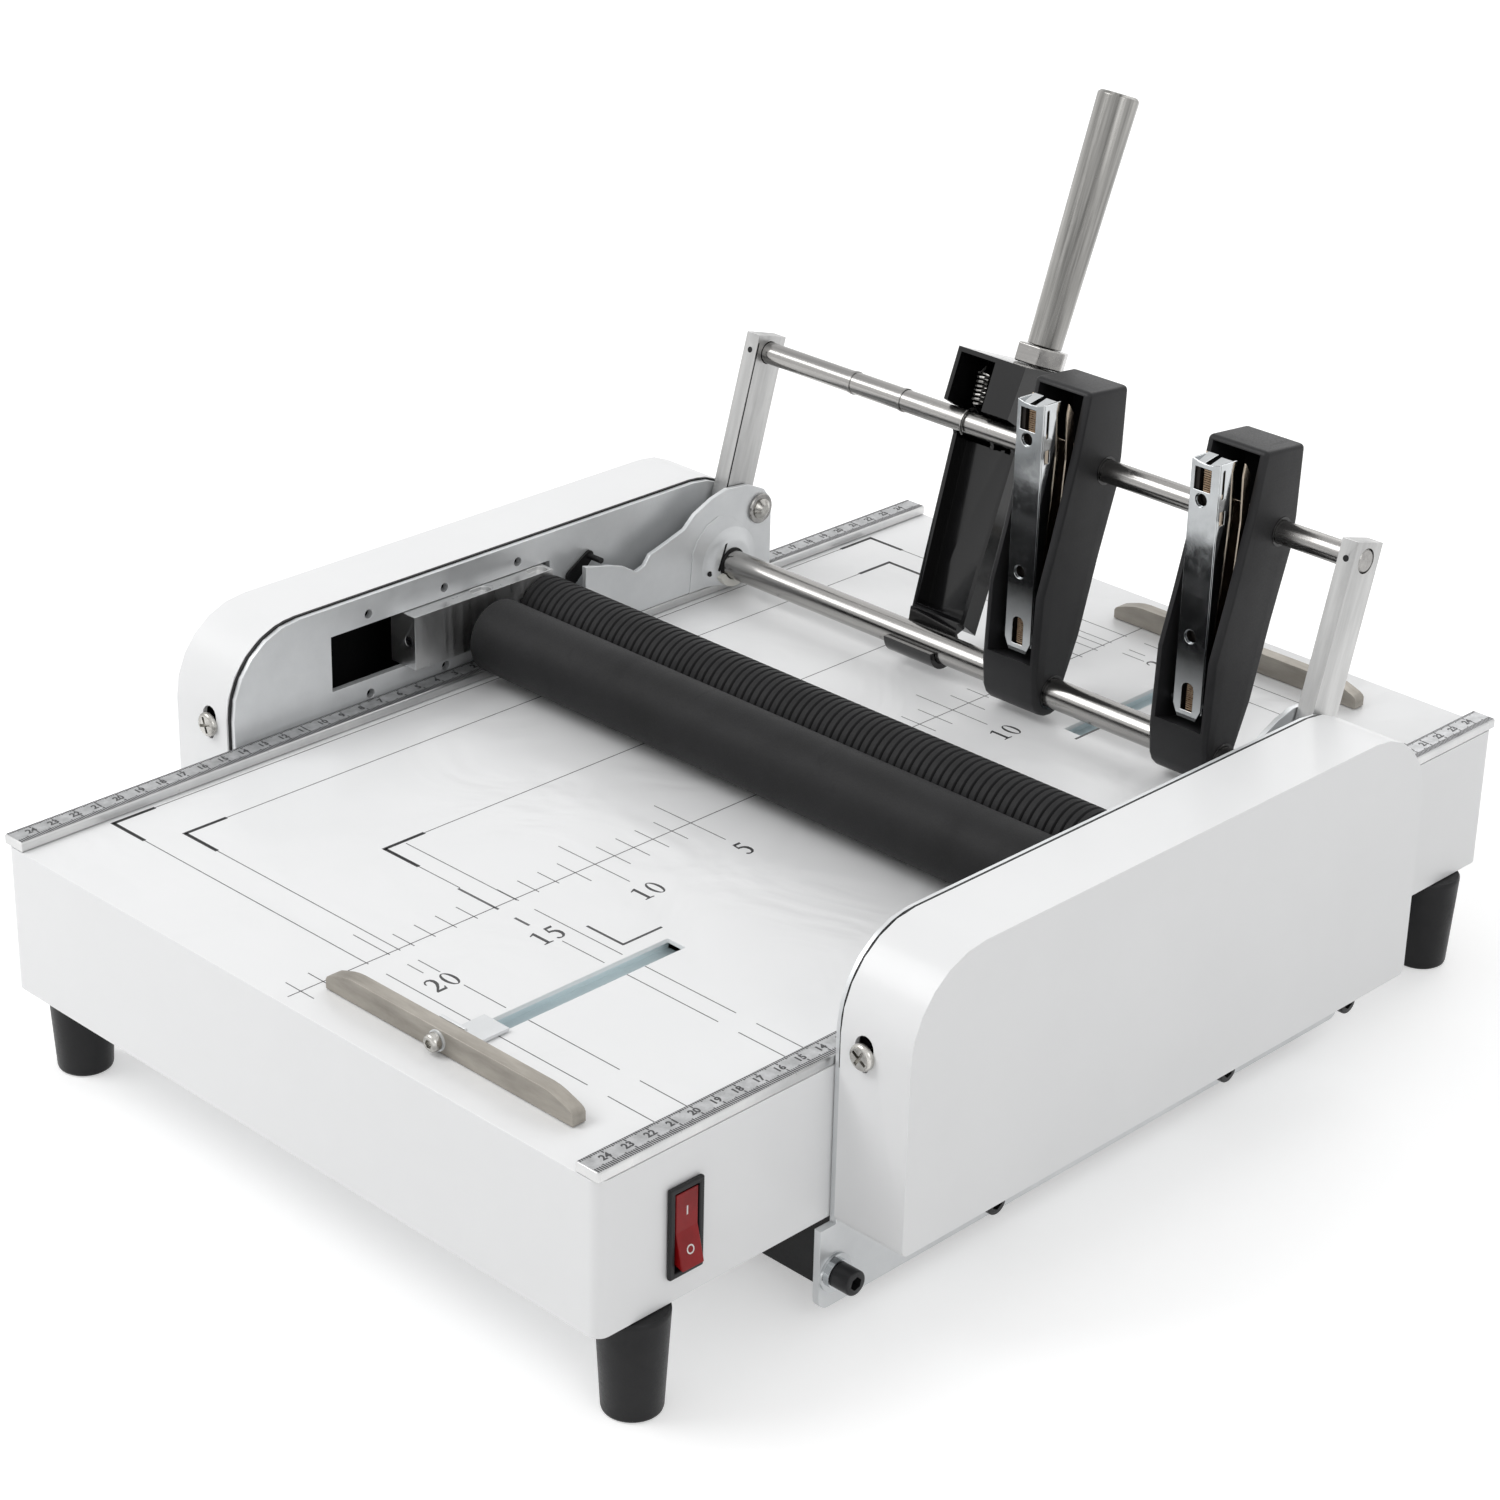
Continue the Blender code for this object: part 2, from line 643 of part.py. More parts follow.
def table_body(frame, white):
    outer = rounded_box((-HALF_TABLE, -HALF_LENGTH), (HALF_TABLE, HALF_LENGTH), TABLE_CORNER)
    inset = TABLE_WALL
    inner = rounded_box(
        (inset - HALF_TABLE, inset - HALF_LENGTH), (HALF_TABLE - inset, HALF_LENGTH - inset), TABLE_CORNER - inset
    )
    slots = []
    for slot_x, sign in ((FRONT_STOP_SLOT_X, -1), (REAR_STOP_SLOT_X, 1)):
        y_low, y_high = sided(sign, (STOP_SLOT_START, STOP_SLOT_END))
        half = STOP_SLOT_WIDTH / 2
        slots.append(box((slot_x - half, y_low, -OVERRUN), (slot_x + half, y_high, OVERRUN)))
    half_opening = ANVIL_LENGTH / 2 + GAP
    opening = box(
        (-half_opening, -ANVIL_NEAR - GAP, -OVERRUN), (half_opening, BLADE_THICKNESS / 2 + SLACK, OVERRUN)
    )
    half_width = SWITCH_WIDTH / 2 - SWITCH_FRAME / 2
    half_height = SWITCH_HEIGHT / 2 - SWITCH_FRAME / 2
    switch = box(
        (HALF_TABLE - OVERRUN, SWITCH_Y - half_width, SWITCH_Z - half_height),
        (HALF_TABLE + OVERRUN, SWITCH_Y + half_width, SWITCH_Z + half_height),
    )
    half_width = INLET_WIDTH / 2 - INLET_WALL / 2
    half_height = INLET_HEIGHT / 2 - INLET_WALL / 2
    inlet = box(
        (INLET_X - half_width, HALF_LENGTH - OVERRUN, INLET_Z - half_height),
        (INLET_X + half_width, HALF_LENGTH + OVERRUN, INLET_Z + half_height),
    )
    motor_y, motor_z = gear_places()["pinion"]
    shaft = rod("x", (motor_y, motor_z), MOTOR_SHAFT_RADIUS + SLACK, HALF_TABLE - OVERRUN, HALF_TABLE + OVERRUN)
    piece(
        "table_body",
        prism("z", outer, -TABLE_DEPTH, 0),
        white,
        frame,
        cuts=[prism("z", inner, -TABLE_DEPTH - OVERRUN, -TABLE_WALL), *slots, opening, switch, inlet, shaft],
    )


def base_plate(frame, zinc):
    inset = TABLE_WALL + GAP
    low = (inset - HALF_TABLE, inset - HALF_LENGTH)
    high = (HALF_TABLE - inset, HALF_LENGTH - inset)
    outline = rounded_box(low, high, TABLE_CORNER - TABLE_WALL)
    piece("base_plate", prism("z", outline, -TABLE_DEPTH, BASE_TOP), zinc, frame)


def feet(frame, black):
    top = -TABLE_DEPTH - GAP
    floor = top - FOOT_HEIGHT
    for row, y in (("front", -FOOT_Y), ("rear", FOOT_Y)):
        for side, x in (("left", -FOOT_X), ("right", FOOT_X)):
            profile = [
                (floor, 0), (floor, FOOT_BOTTOM_RADIUS - FOOT_CHAMFER), (floor + FOOT_CHAMFER, FOOT_BOTTOM_RADIUS),
                (top - FOOT_CHAMFER, FOOT_TOP_RADIUS), (top, FOOT_TOP_RADIUS - FOOT_CHAMFER), (top, 0),
            ]
            piece(f"foot_{row}_{side}", turned("z", (x, y), profile, SMALL_STEPS), black, frame)


def rulers(frame, steel):
    for side, name in ((-1, "ruler_left"), (1, "ruler_right")):
        low, high = sided(side, (HALF_TABLE - RULER_WIDTH, HALF_TABLE))
        top = GAP + RULER_HEIGHT
        outline = filleted([
            (low, GAP, 0), (high, GAP, 0), (high, top, RULER_CORNER), (low, top, RULER_CORNER),
        ])
        piece(name, prism("y", outline, -HALF_LENGTH, HALF_LENGTH), steel, frame)


# Side plates and covers

def gear_places():
    """The centres of the gear train in the Y and Z of the frame."""
    roller = 2 * NIP_HALF
    idler_radius = GEAR_MODULE * GEAR_TEETH_IDLER / 2
    pinion_radius = GEAR_MODULE * GEAR_TEETH_PINION / 2
    upper = (NIP_HALF + roller / 2 + idler_radius, ROLLER_Z)
    drop = math.sqrt((2 * idler_radius) ** 2 - IDLER_OFFSET ** 2)
    lower = (upper[0] + IDLER_OFFSET, upper[1] - drop)
    reach = idler_radius + pinion_radius
    motor_drop = min(reach, lower[1] - (BASE_TOP + GEARBOX_BASE_GAP + GEARBOX_RADIUS))
    motor_side = math.sqrt(reach ** 2 - motor_drop ** 2)
    return {
        "front": (-NIP_HALF, ROLLER_Z),
        "rear": (NIP_HALF, ROLLER_Z),
        "upper": upper,
        "lower": lower,
        "pinion": (lower[0] + motor_side, lower[1] - motor_drop),
    }


def side_plates(frame, zinc):
    foot_near = PLATE_NEAR + PLATE_FOOT_OUT
    foot_far = PLATE_FAR + PLATE_FOOT_OUT
    corner = PLATE_FOOT_CORNER
    outline = filleted([
        (-foot_near, -PLATE_BOTTOM, corner), (foot_far, -PLATE_BOTTOM, corner), (foot_far, -PLATE_FOOT_TOP, 0),
        (PLATE_FAR, -PLATE_FOOT_TOP, 0), (PLATE_FAR, PLATE_TOP, PLATE_CORNER),
        (-PLATE_NEAR, PLATE_TOP, PLATE_CORNER), (-PLATE_NEAR, -PLATE_FOOT_TOP, 0), (-foot_near, -PLATE_FOOT_TOP, 0),
    ])
    window = rectangle((WINDOW_NEAR, WINDOW_BOTTOM), (WINDOW_FAR, WINDOW_BOTTOM + WINDOW_HEIGHT))
    row_holes = [
        circle((PLATE_HOLE_Y + place * PLATE_HOLE_PITCH, z), PLATE_HOLE_RADIUS, SMALL_STEPS)
        for z in PLATE_HOLE_ROWS
        for place in (-1, 0, 1)
    ]
    rod_hole = circle((ROD_Y, ROD_Z), LOWER_ROD_RADIUS + GAP, ROUND_STEPS)
    places = gear_places()
    for side, name in ((-1, "side_plate_left"), (1, "side_plate_right")):
        holes = [window, rod_hole, *row_holes]
        studs = []
        if side < 0:
            holes.append(circle((LEVER_Y, LEVER_Z), LEVER_STUB_RADIUS + GAP))
        else:
            holes.append(circle(places["pinion"], MOTOR_SHAFT_RADIUS + SLACK))
            studs = [gear_stud(places["upper"]), gear_stud(places["lower"])]
        low, high = sided(side, (PLATE_IN, PLATE_OUT))
        piece(name, prism("x", outline, low, high, holes, studs), zinc, frame)


def gear_stud(centre):
    """A stud riveted in the right side plate, with a shoulder that spaces its gear."""
    shoulder = GEAR_IN - GAP
    profile = [
        (PLATE_OUT, STUD_SHOULDER_RADIUS), (shoulder, STUD_SHOULDER_RADIUS), (shoulder, STUD_RADIUS),
        (GEAR_OUT + STUD_END, STUD_RADIUS),
    ]
    return centre, profile


def cover_outline(inset):
    corner = COVER_CORNER - inset
    low_corner = COVER_LOWER_CORNER - inset
    return filleted([
        (inset - COVER_NEAR, inset - COVER_BOTTOM, low_corner), (COVER_FAR - inset, inset - COVER_BOTTOM, low_corner),
        (COVER_FAR - inset, COVER_TOP - inset, corner), (inset - COVER_NEAR, COVER_TOP - inset, corner),
    ])


def side_covers(frame, white):
    for side, name in ((-1, "side_cover_left"), (1, "side_cover_right")):
        low, high = sided(side, (COVER_IN, COVER_OUT))
        cavity_low, cavity_high = sided(side, (COVER_IN - OVERRUN, COVER_OUT - COVER_WALL))
        cuts = [prism("x", cover_outline(COVER_WALL), cavity_low, cavity_high)]
        keyhole_x = side * (COVER_OUT - KEYHOLE_INSET)
        for y in (-COVER_NEAR, COVER_FAR):
            head = circle((keyhole_x, KEYHOLE_Z), KEYHOLE_RADIUS)
            slot = capsule(
                (keyhole_x, KEYHOLE_Z), KEYHOLE_SLOT_RADIUS,
                (keyhole_x, KEYHOLE_Z - KEYHOLE_LENGTH), KEYHOLE_SLOT_RADIUS,
            )
            cuts += [prism("y", shape, y - OVERRUN, y + OVERRUN) for shape in (head, slot)]
        made = piece(name, prism("x", cover_outline(0), low, high), white, frame, cuts=cuts)
        edge = made.modifiers.new("edge", "BEVEL")
        edge.width = COVER_EDGE
        edge.segments = 1
        edge.limit_method = "WEIGHT"
        soften_outer_edge(made, side * COVER_OUT)
        made.modifiers.move(len(made.modifiers) - 1, 0)


def soften_outer_edge(made, x):
    """Marks the edges of the face at x for the bevel."""
    weights = made.data.attributes.new("bevel_weight_edge", "FLOAT", "EDGE")
    points = made.data.vertices
    for edge in made.data.edges:
        ends = [points[i].co.x for i in edge.vertices]
        rim = all(abs(end - x) < GAP for end in ends) and edge_is_rim(made.data, edge)
        weights.data[edge.index].value = 1.0 if rim else 0.0


def edge_is_rim(mesh, edge):
    """True where the edge borders a wall as well as the flat face."""
    ends = set(edge.vertices)
    normals = [p.normal.x for p in mesh.polygons if ends <= set(p.vertices)]
    return min(abs(n) for n in normals) < EDGE_NORMAL_SHARE


# Drive tray, power supply and control board

def drive_tray(frame, black, zinc, green):
    top = -TABLE_DEPTH - GAP
    floor = top - TRAY_HEIGHT
    half = PLATE_IN - GAP
    outer = box((-half, -TRAY_LENGTH / 2, floor), (half, TRAY_LENGTH / 2, top))
    wall = TRAY_WALL
    inner = box(
        (wall - half, wall - TRAY_LENGTH / 2, floor + wall), (half - wall, TRAY_LENGTH / 2 - wall, top + OVERRUN)
    )
    piece("drive_tray", outer, black, frame, cuts=[inner])
    seat = floor + wall + GAP
    low = (SUPPLY_X - SUPPLY_WIDTH / 2, -SUPPLY_LENGTH / 2, seat)
    high = (SUPPLY_X + SUPPLY_WIDTH / 2, SUPPLY_LENGTH / 2, seat + SUPPLY_HEIGHT)
    piece("power_supply", box(low, high), zinc, frame)
    board_bottom = seat + BOARD_PILLAR_HEIGHT
    board_top = board_bottom + BOARD_THICKNESS
    low = (BOARD_X - BOARD_WIDTH / 2, -BOARD_LENGTH / 2, board_bottom)
    high = (BOARD_X + BOARD_WIDTH / 2, BOARD_LENGTH / 2, board_top)
    parts = []
    inset = 2 * BOARD_PILLAR_RADIUS
    for x in (low[0] + inset, high[0] - inset):
        for y in (low[1] + inset, high[1] - inset):
            pillar_top = board_bottom + BOARD_THICKNESS / 2
            parts.append(rod("z", (x, y), BOARD_PILLAR_RADIUS, seat, pillar_top, SMALL_STEPS))
    half_chip = BOARD_CHIP_SIZE / 2
    chip_low = (BOARD_X - half_chip, -half_chip, board_bottom + BOARD_THICKNESS / 2)
    parts.append(box(chip_low, (BOARD_X + half_chip, half_chip, board_top + BOARD_CHIP_HEIGHT)))
    piece("control_board", box(low, high), green, frame, joins=parts)


# Gear motor and gear train

def gear_motor(frame, dark_steel):
    centre = gear_places()["pinion"]
    face = HALF_TABLE - TABLE_WALL - GAP
    joint = face - GEARBOX_LENGTH
    tail = joint - MOTOR_LENGTH
    bore = MOTOR_SHAFT_RADIUS + GAP
    depth = face - MOTOR_SHAFT_DEPTH
    profile = [
        (tail, 0), (tail, MOTOR_RADIUS), (joint, MOTOR_RADIUS), (joint, GEARBOX_RADIUS),
        (face - GEARBOX_SEAT, GEARBOX_RADIUS), (face, GEARBOX_RADIUS - GEARBOX_SEAT), (face, bore),
        (depth, bore), (depth, 0),
    ]
    piece("gear_motor", turned("x", centre, profile), dark_steel, frame)


def gears(frame, carriers, brass, plastic):
    places = gear_places()
    front_phase = 0.0
    rear_phase = meshed_phase(front_phase, GEAR_TEETH_ROLLER, GEAR_TEETH_ROLLER, 0.0)
    upper_phase = meshed_phase(rear_phase, GEAR_TEETH_ROLLER, GEAR_TEETH_IDLER, 0.0)
    down = math.atan2(places["lower"][1] - places["upper"][1], places["lower"][0] - places["upper"][0])
    lower_phase = meshed_phase(upper_phase, GEAR_TEETH_IDLER, GEAR_TEETH_IDLER, down)
    pinion_phase = meshed_phase(lower_phase, GEAR_TEETH_IDLER, GEAR_TEETH_PINION, -math.pi / 2)
    bored = [
        ("front_roller_gear", "front", GEAR_TEETH_ROLLER, front_phase, JOURNAL_RADIUS, plastic),
        ("rear_roller_gear", "rear", GEAR_TEETH_ROLLER, rear_phase, JOURNAL_RADIUS, plastic),
        ("idler_gear_upper", "upper", GEAR_TEETH_IDLER, upper_phase, STUD_RADIUS, plastic),
        ("idler_gear_lower", "lower", GEAR_TEETH_IDLER, lower_phase, STUD_RADIUS, plastic),
    ]
    for name, carrier, teeth, phase, shaft_radius, finish in bored:
        bore = circle((0, 0), shaft_radius + GAP, SMALL_STEPS)
        piece(name, prism("x", gear_outline(teeth, phase), GEAR_IN, GEAR_OUT, [bore]), finish, carriers[carrier])
    start = HALF_TABLE - TABLE_WALL - GAP - MOTOR_SHAFT_DEPTH + GAP
    shaft = ((0, 0), [(GEAR_IN, MOTOR_SHAFT_RADIUS), (start, MOTOR_SHAFT_RADIUS)])
    pinion = prism("x", gear_outline(GEAR_TEETH_PINION, pinion_phase), GEAR_IN, GEAR_OUT, bosses=[shaft])
    piece("motor_pinion", pinion, brass, carriers["pinion"])


# Roller carriage

def rollers(carriers, rubber):
    half = ROLLER_LENGTH / 2
    left = -(LINK_IN - SLACK)
    for name, radius, carrier in (
        ("front_roller", FRONT_ROLLER_RADIUS, "front"),
        ("rear_roller", REAR_ROLLER_RADIUS, "rear"),
    ):
        chamfer = ROLLER_CHAMFER
        profile = [
            (left, 0), (left, JOURNAL_RADIUS), (-half, JOURNAL_RADIUS), (-half, radius - chamfer),
            (chamfer - half, radius), (half - chamfer, radius), (half, radius - chamfer), (half, JOURNAL_RADIUS),
            (GEAR_OUT + SLACK, JOURNAL_RADIUS), (GEAR_OUT + SLACK, 0),
        ]
        piece(name, turned("x", (0, 0), profile), rubber, carriers[carrier])


def bearing_blocks(carriage, aluminium):
    bottom = WINDOW_BOTTOM + GAP
    top = WINDOW_BOTTOM + WINDOW_HEIGHT - GAP
    for side, name in ((-1, "bearing_block_left"), (1, "bearing_block_right")):
        low, high = sided(side, (BLOCK_IN, LINK_IN - GAP))
        bores = [
            circle((y, ROLLER_Z), JOURNAL_RADIUS + GAP, ROUND_STEPS) for y in (-NIP_HALF, NIP_HALF)
        ]
        outline = rectangle((BLOCK_NEAR, bottom), (BLOCK_FAR, top))
        wells = []
        middle = side * (BLOCK_IN + (PLATE_IN - BLOCK_IN) / 2)
        for y in (-NIP_HALF, NIP_HALF):
            half_width = BLOCK_WELL_WIDTH / 2
            half_length = BLOCK_WELL_LENGTH / 2
            shape = rounded_box(
                (middle - half_width, y - half_length), (middle + half_width, y + half_length), half_width - GAP
            )
            wells.append(prism("z", shape, top - BLOCK_WELL_DEPTH, top + OVERRUN))
        screw = rod(
            "y", (middle, (bottom + top) / 2), BLOCK_SCREW_RADIUS,
            BLOCK_NEAR - OVERRUN, BLOCK_NEAR + BLOCK_WELL_DEPTH, SMALL_STEPS,
        )
        block = prism("x", outline, low, high, bores)
        piece(name, block, aluminium, carriage, cuts=[*wells, screw])


def crank_angle(turn):
    """The crank pin's angle from straight up, forward positive, after the head has swung by turn."""
    return math.radians(CRANK_TILT_DEG) - HEAD_SWING / 2 + turn


def crank_pin(turn):
    angle = crank_angle(turn)
    return (ROD_Y - CRANK_RADIUS * math.sin(angle), ROD_Z + CRANK_RADIUS * math.cos(angle))


def carriage_links(carriage, zinc):
    """Flat bars from the blocks to a slanted slot that the crank pins run in."""
    first = Vector(crank_pin(0.0))
    last = Vector(crank_pin(HEAD_SWING)) + Vector((CARRIAGE_TRAVEL, 0))
    heading = (last - first).normalized() * LINK_SLOT_SPARE
    first -= heading
    last += heading
    slot_radius = CRANK_PIN_RADIUS + CRANK_PIN_SLACK
    eye_radius = slot_radius + LINK_EYE_WALL
    for side, name in ((-1, "carriage_link_left"), (1, "carriage_link_right")):
        low, high = sided(side, (LINK_IN, LINK_OUT))
        bar = rectangle((BLOCK_NEAR + LINK_EYE_WALL, LINK_BOTTOM), (first.x, LINK_BOTTOM + LINK_HEIGHT))
        eye = prism("x", capsule(first, eye_radius, last, eye_radius), low, high)
        slot = prism("x", capsule(first, slot_radius, last, slot_radius), low - OVERRUN, high + OVERRUN)
        piece(name, prism("x", bar, low, high), zinc, carriage, joins=[eye], cuts=[slot])


# Head: rods, arms and cranks

def head_rods(head, steel, bright_steel):
    end = CRANK_OUT
    piece("lower_rod", rod("x", (0, 0), LOWER_ROD_RADIUS, -end, end), steel, head)
    profile = [(-ARM_OUT, 0), (-ARM_OUT, UPPER_ROD_RADIUS)]
    for x in RING_PLACES:
        ring_low, ring_high = x - RING_WIDTH / 2, x + RING_WIDTH / 2
        profile += [(ring_low, UPPER_ROD_RADIUS), (ring_low, RING_RADIUS)]
        profile += [(ring_high, RING_RADIUS), (ring_high, UPPER_ROD_RADIUS)]
    profile += [(ARM_OUT, UPPER_ROD_RADIUS), (ARM_OUT, 0)]
    piece("upper_rod", turned("x", (0, ROD_SPACING), profile), bright_steel, head)


def arms(head, steel):
    half = ARM_WIDTH / 2
    top = ROD_SPACING + ARM_TOP
    for side, name in ((-1, "arm_left"), (1, "arm_right")):
        low, high = sided(side, (ARM_IN, ARM_OUT))
        outline = [(half, top), (-half, top), *arc((0, 0), half, math.pi, math.tau, SMALL_STEPS)]
        bores = [
            circle((0, 0), LOWER_ROD_RADIUS + GAP, ROUND_STEPS),
            circle((0, ROD_SPACING), UPPER_ROD_RADIUS + GAP, ROUND_STEPS),
        ]
        middle = (low + high) / 2
        screws = []
        for z in (0.0, ROD_SPACING):
            screws.append(
                rod("y", (middle, z), SET_SCREW_RADIUS, -half - OVERRUN, SET_SCREW_DEPTH - half, SMALL_STEPS)
            )
        piece(name, prism("x", outline, low, high, bores), steel, head, cuts=screws)


def carriage_cranks(cranks, zinc):
    """Cranks in the upright frame of the pivot, each with its pin outwards."""
    pin_y, pin_z = crank_pin(0.0)
    pin = (pin_y - ROD_Y, pin_z - ROD_Z)
    for side, name in ((-1, "carriage_crank_left"), (1, "carriage_crank_right")):
        low, high = sided(side, (CRANK_IN, CRANK_OUT))
        outline = capsule((0, 0), CRANK_HUB_RADIUS, pin, CRANK_TIP_RADIUS)
        bore = circle((0, 0), LOWER_ROD_RADIUS + GAP, ROUND_STEPS)
        pin_end = side * (LINK_OUT + SLACK)
        stub = (pin, [(side * CRANK_OUT, CRANK_PIN_RADIUS), (pin_end, CRANK_PIN_RADIUS)])
        piece(name, prism("x", outline, low, high, [bore], [stub]), zinc, cranks)


# Wavy brackets with their stop bolts, and the trip lever

def stop_bolt_place():
    """Where the bolt stands that the arm leans against, in the Y and Z of the frame."""
    back = ARM_WIDTH / 2 + STOP_BOLT_RADIUS + GAP
    along = STOP_BOLT_ALONG
    y = ROD_Y + along * math.sin(HEAD_LEAN) + back * math.cos(HEAD_LEAN)
    z = ROD_Z + along * math.cos(HEAD_LEAN) - back * math.sin(HEAD_LEAN)
    return (y, z)


def pivot_brackets(frame, zinc, chrome):
    bottom = RULER_HEIGHT + 2 * GAP
    length = BRACKET_FAR - BRACKET_NEAR
    height = BRACKET_TOP - bottom

    def at(share):
        return (BRACKET_NEAR + share[0] * length, bottom + share[1] * height)

    wave = [at(share) for share in BRACKET_WAVE_SHARES]
    notch = [at(share) for share in BRACKET_NOTCH_SHARES]
    outline = [at((0, 0)), *notch, at((1, 0)), *reversed(wave)]
    bolt_place = stop_bolt_place()
    bolt_hole = circle(bolt_place, STOP_BOLT_RADIUS + GAP)
    head_radius = STOP_BOLT_HEAD_RADIUS
    head_height = STOP_BOLT_HEAD_HEIGHT
    for side, name in ((-1, "left"), (1, "right")):
        low, high = sided(side, (BRACKET_IN, BRACKET_OUT))
        post_end = side * (PLATE_IN - GAP)
        post_profile = [(side * BRACKET_OUT, STANDOFF_RADIUS), (post_end, STANDOFF_RADIUS)]
        post = ((STANDOFF_Y, STANDOFF_Z), post_profile)
        piece(f"pivot_bracket_{name}", prism("x", outline, low, high, [bolt_hole], [post]), zinc, frame)
        seat = side * (BRACKET_IN - GAP)
        crown = seat - side * head_height
        end = side * (PLATE_IN - GAP)
        profile = [
            (end, 0), (end, STOP_BOLT_RADIUS), (seat, STOP_BOLT_RADIUS),
            (seat, head_radius), (seat - side * head_height / 2, head_radius), (crown, head_radius / 2), (crown, 0),
        ]
        piece(f"stop_bolt_{name}", turned("x", bolt_place, profile, SMALL_STEPS), chrome, frame)


def trip_lever(carrier, black):
    rise = math.radians(LEVER_RISE_DEG)
    tip = (LEVER_REACH * math.cos(rise), LEVER_REACH * math.sin(rise))
    outer = -(PLATE_IN - GAP)
    inner = outer + LEVER_THICKNESS
    outline = capsule((0, 0), LEVER_HUB_RADIUS, tip, LEVER_TIP_RADIUS)
    pin = (tip, [(inner, LEVER_PIN_RADIUS), (-(BRACKET_OUT + SLACK), LEVER_PIN_RADIUS)])
    stub = ((0, 0), [(outer, LEVER_STUB_RADIUS), (-PLATE_OUT, LEVER_STUB_RADIUS)])
    piece("trip_lever", prism("x", outline, outer, inner, bosses=[pin, stub]), black, carrier)


# Staplers

def stapler_housings(staplers, black):
    front = [(-share[1] * HOUSING_FRONT, share[0] * HOUSING_LENGTH) for share in HOUSING_FRONT_SHARES]
    back = [(share[1] * HOUSING_BACK, share[0] * HOUSING_LENGTH) for share in HOUSING_BACK_SHARES]
    nose = arc((0, 0), HOUSING_NOSE_RADIUS, math.pi * 7 / 6, math.pi * 11 / 6, ARC_STEPS)
    outline = [*front, *nose, *back]
    wall = HOUSING_WALL
    inside = [(share[1] * HOUSING_BACK, share[0] * HOUSING_LENGTH) for share in HOUSING_HOLLOW_SHARES]
    out = -2 * HOUSING_FRONT
    cavity = [(out, HOUSING_HOLLOW_TOP_SHARE * HOUSING_LENGTH), *inside, (out, HOUSING_CHIN)]
    for number, (carrier, width) in enumerate(zip(staplers, STAPLER_WIDTHS), start=1):
        half = width / 2
        bores = [
            rod("x", (0, 0), LOWER_ROD_RADIUS + GAP, -half - OVERRUN, half + OVERRUN),
            rod("x", (0, ROD_SPACING), UPPER_ROD_RADIUS + GAP, -half - OVERRUN, half + OVERRUN),
        ]
        hollow = prism("x", cavity, wall - half, half - wall)
        piece(
            f"stapler_housing_{number}", prism("x", outline, -half, half), black, carrier, cuts=[hollow, *bores]
        )


def magazines(carriers, chrome):
    """A channel with a staple window, standing upright on a pin between the housing's walls."""
    half = MAGAZINE_WIDTH / 2
    foot = -MAGAZINE_PIN_IN
    top = foot + MAGAZINE_LENGTH
    front = -MAGAZINE_DEPTH / 2
    back = MAGAZINE_DEPTH / 2
    for number, (carrier, width) in enumerate(zip(carriers, STAPLER_WIDTHS), start=1):
        body = box((-half, front, foot), (half, back, top))
        pin_half = width / 2 - HOUSING_WALL - GAP
        pin = rod("x", (0, 0), MAGAZINE_PIN_RADIUS, -pin_half, pin_half, SMALL_STEPS)
        wedge = [
            (0, foot + FOLLOWER_FOOT), (back, foot + FOLLOWER_FOOT), (back + FOLLOWER_DEPTH, top - FOLLOWER_TOP),
            (0, top - FOLLOWER_TOP),
        ]
        strip = prism("x", wedge, -FOLLOWER_WIDTH / 2, FOLLOWER_WIDTH / 2)
        window_half = MAGAZINE_WINDOW_WIDTH / 2
        window_top = top - MAGAZINE_WINDOW_DOWN
        cuts = [
            box(
                (-window_half, front - OVERRUN, window_top - MAGAZINE_WINDOW_HEIGHT),
                (window_half, front + MAGAZINE_WINDOW_DEPTH, window_top),
            )
        ]
        for share in MAGAZINE_HOLE_SHARES:
            centre = (0, foot + share * MAGAZINE_LENGTH)
            cuts.append(
                rod("y", centre, MAGAZINE_HOLE_RADIUS, front - OVERRUN, front + MAGAZINE_WINDOW_DEPTH, SMALL_STEPS)
            )
        piece(f"stapler_magazine_{number}", body, chrome, carrier, joins=[pin, strip], cuts=cuts)


# Handle bracket, spring, nut and handle

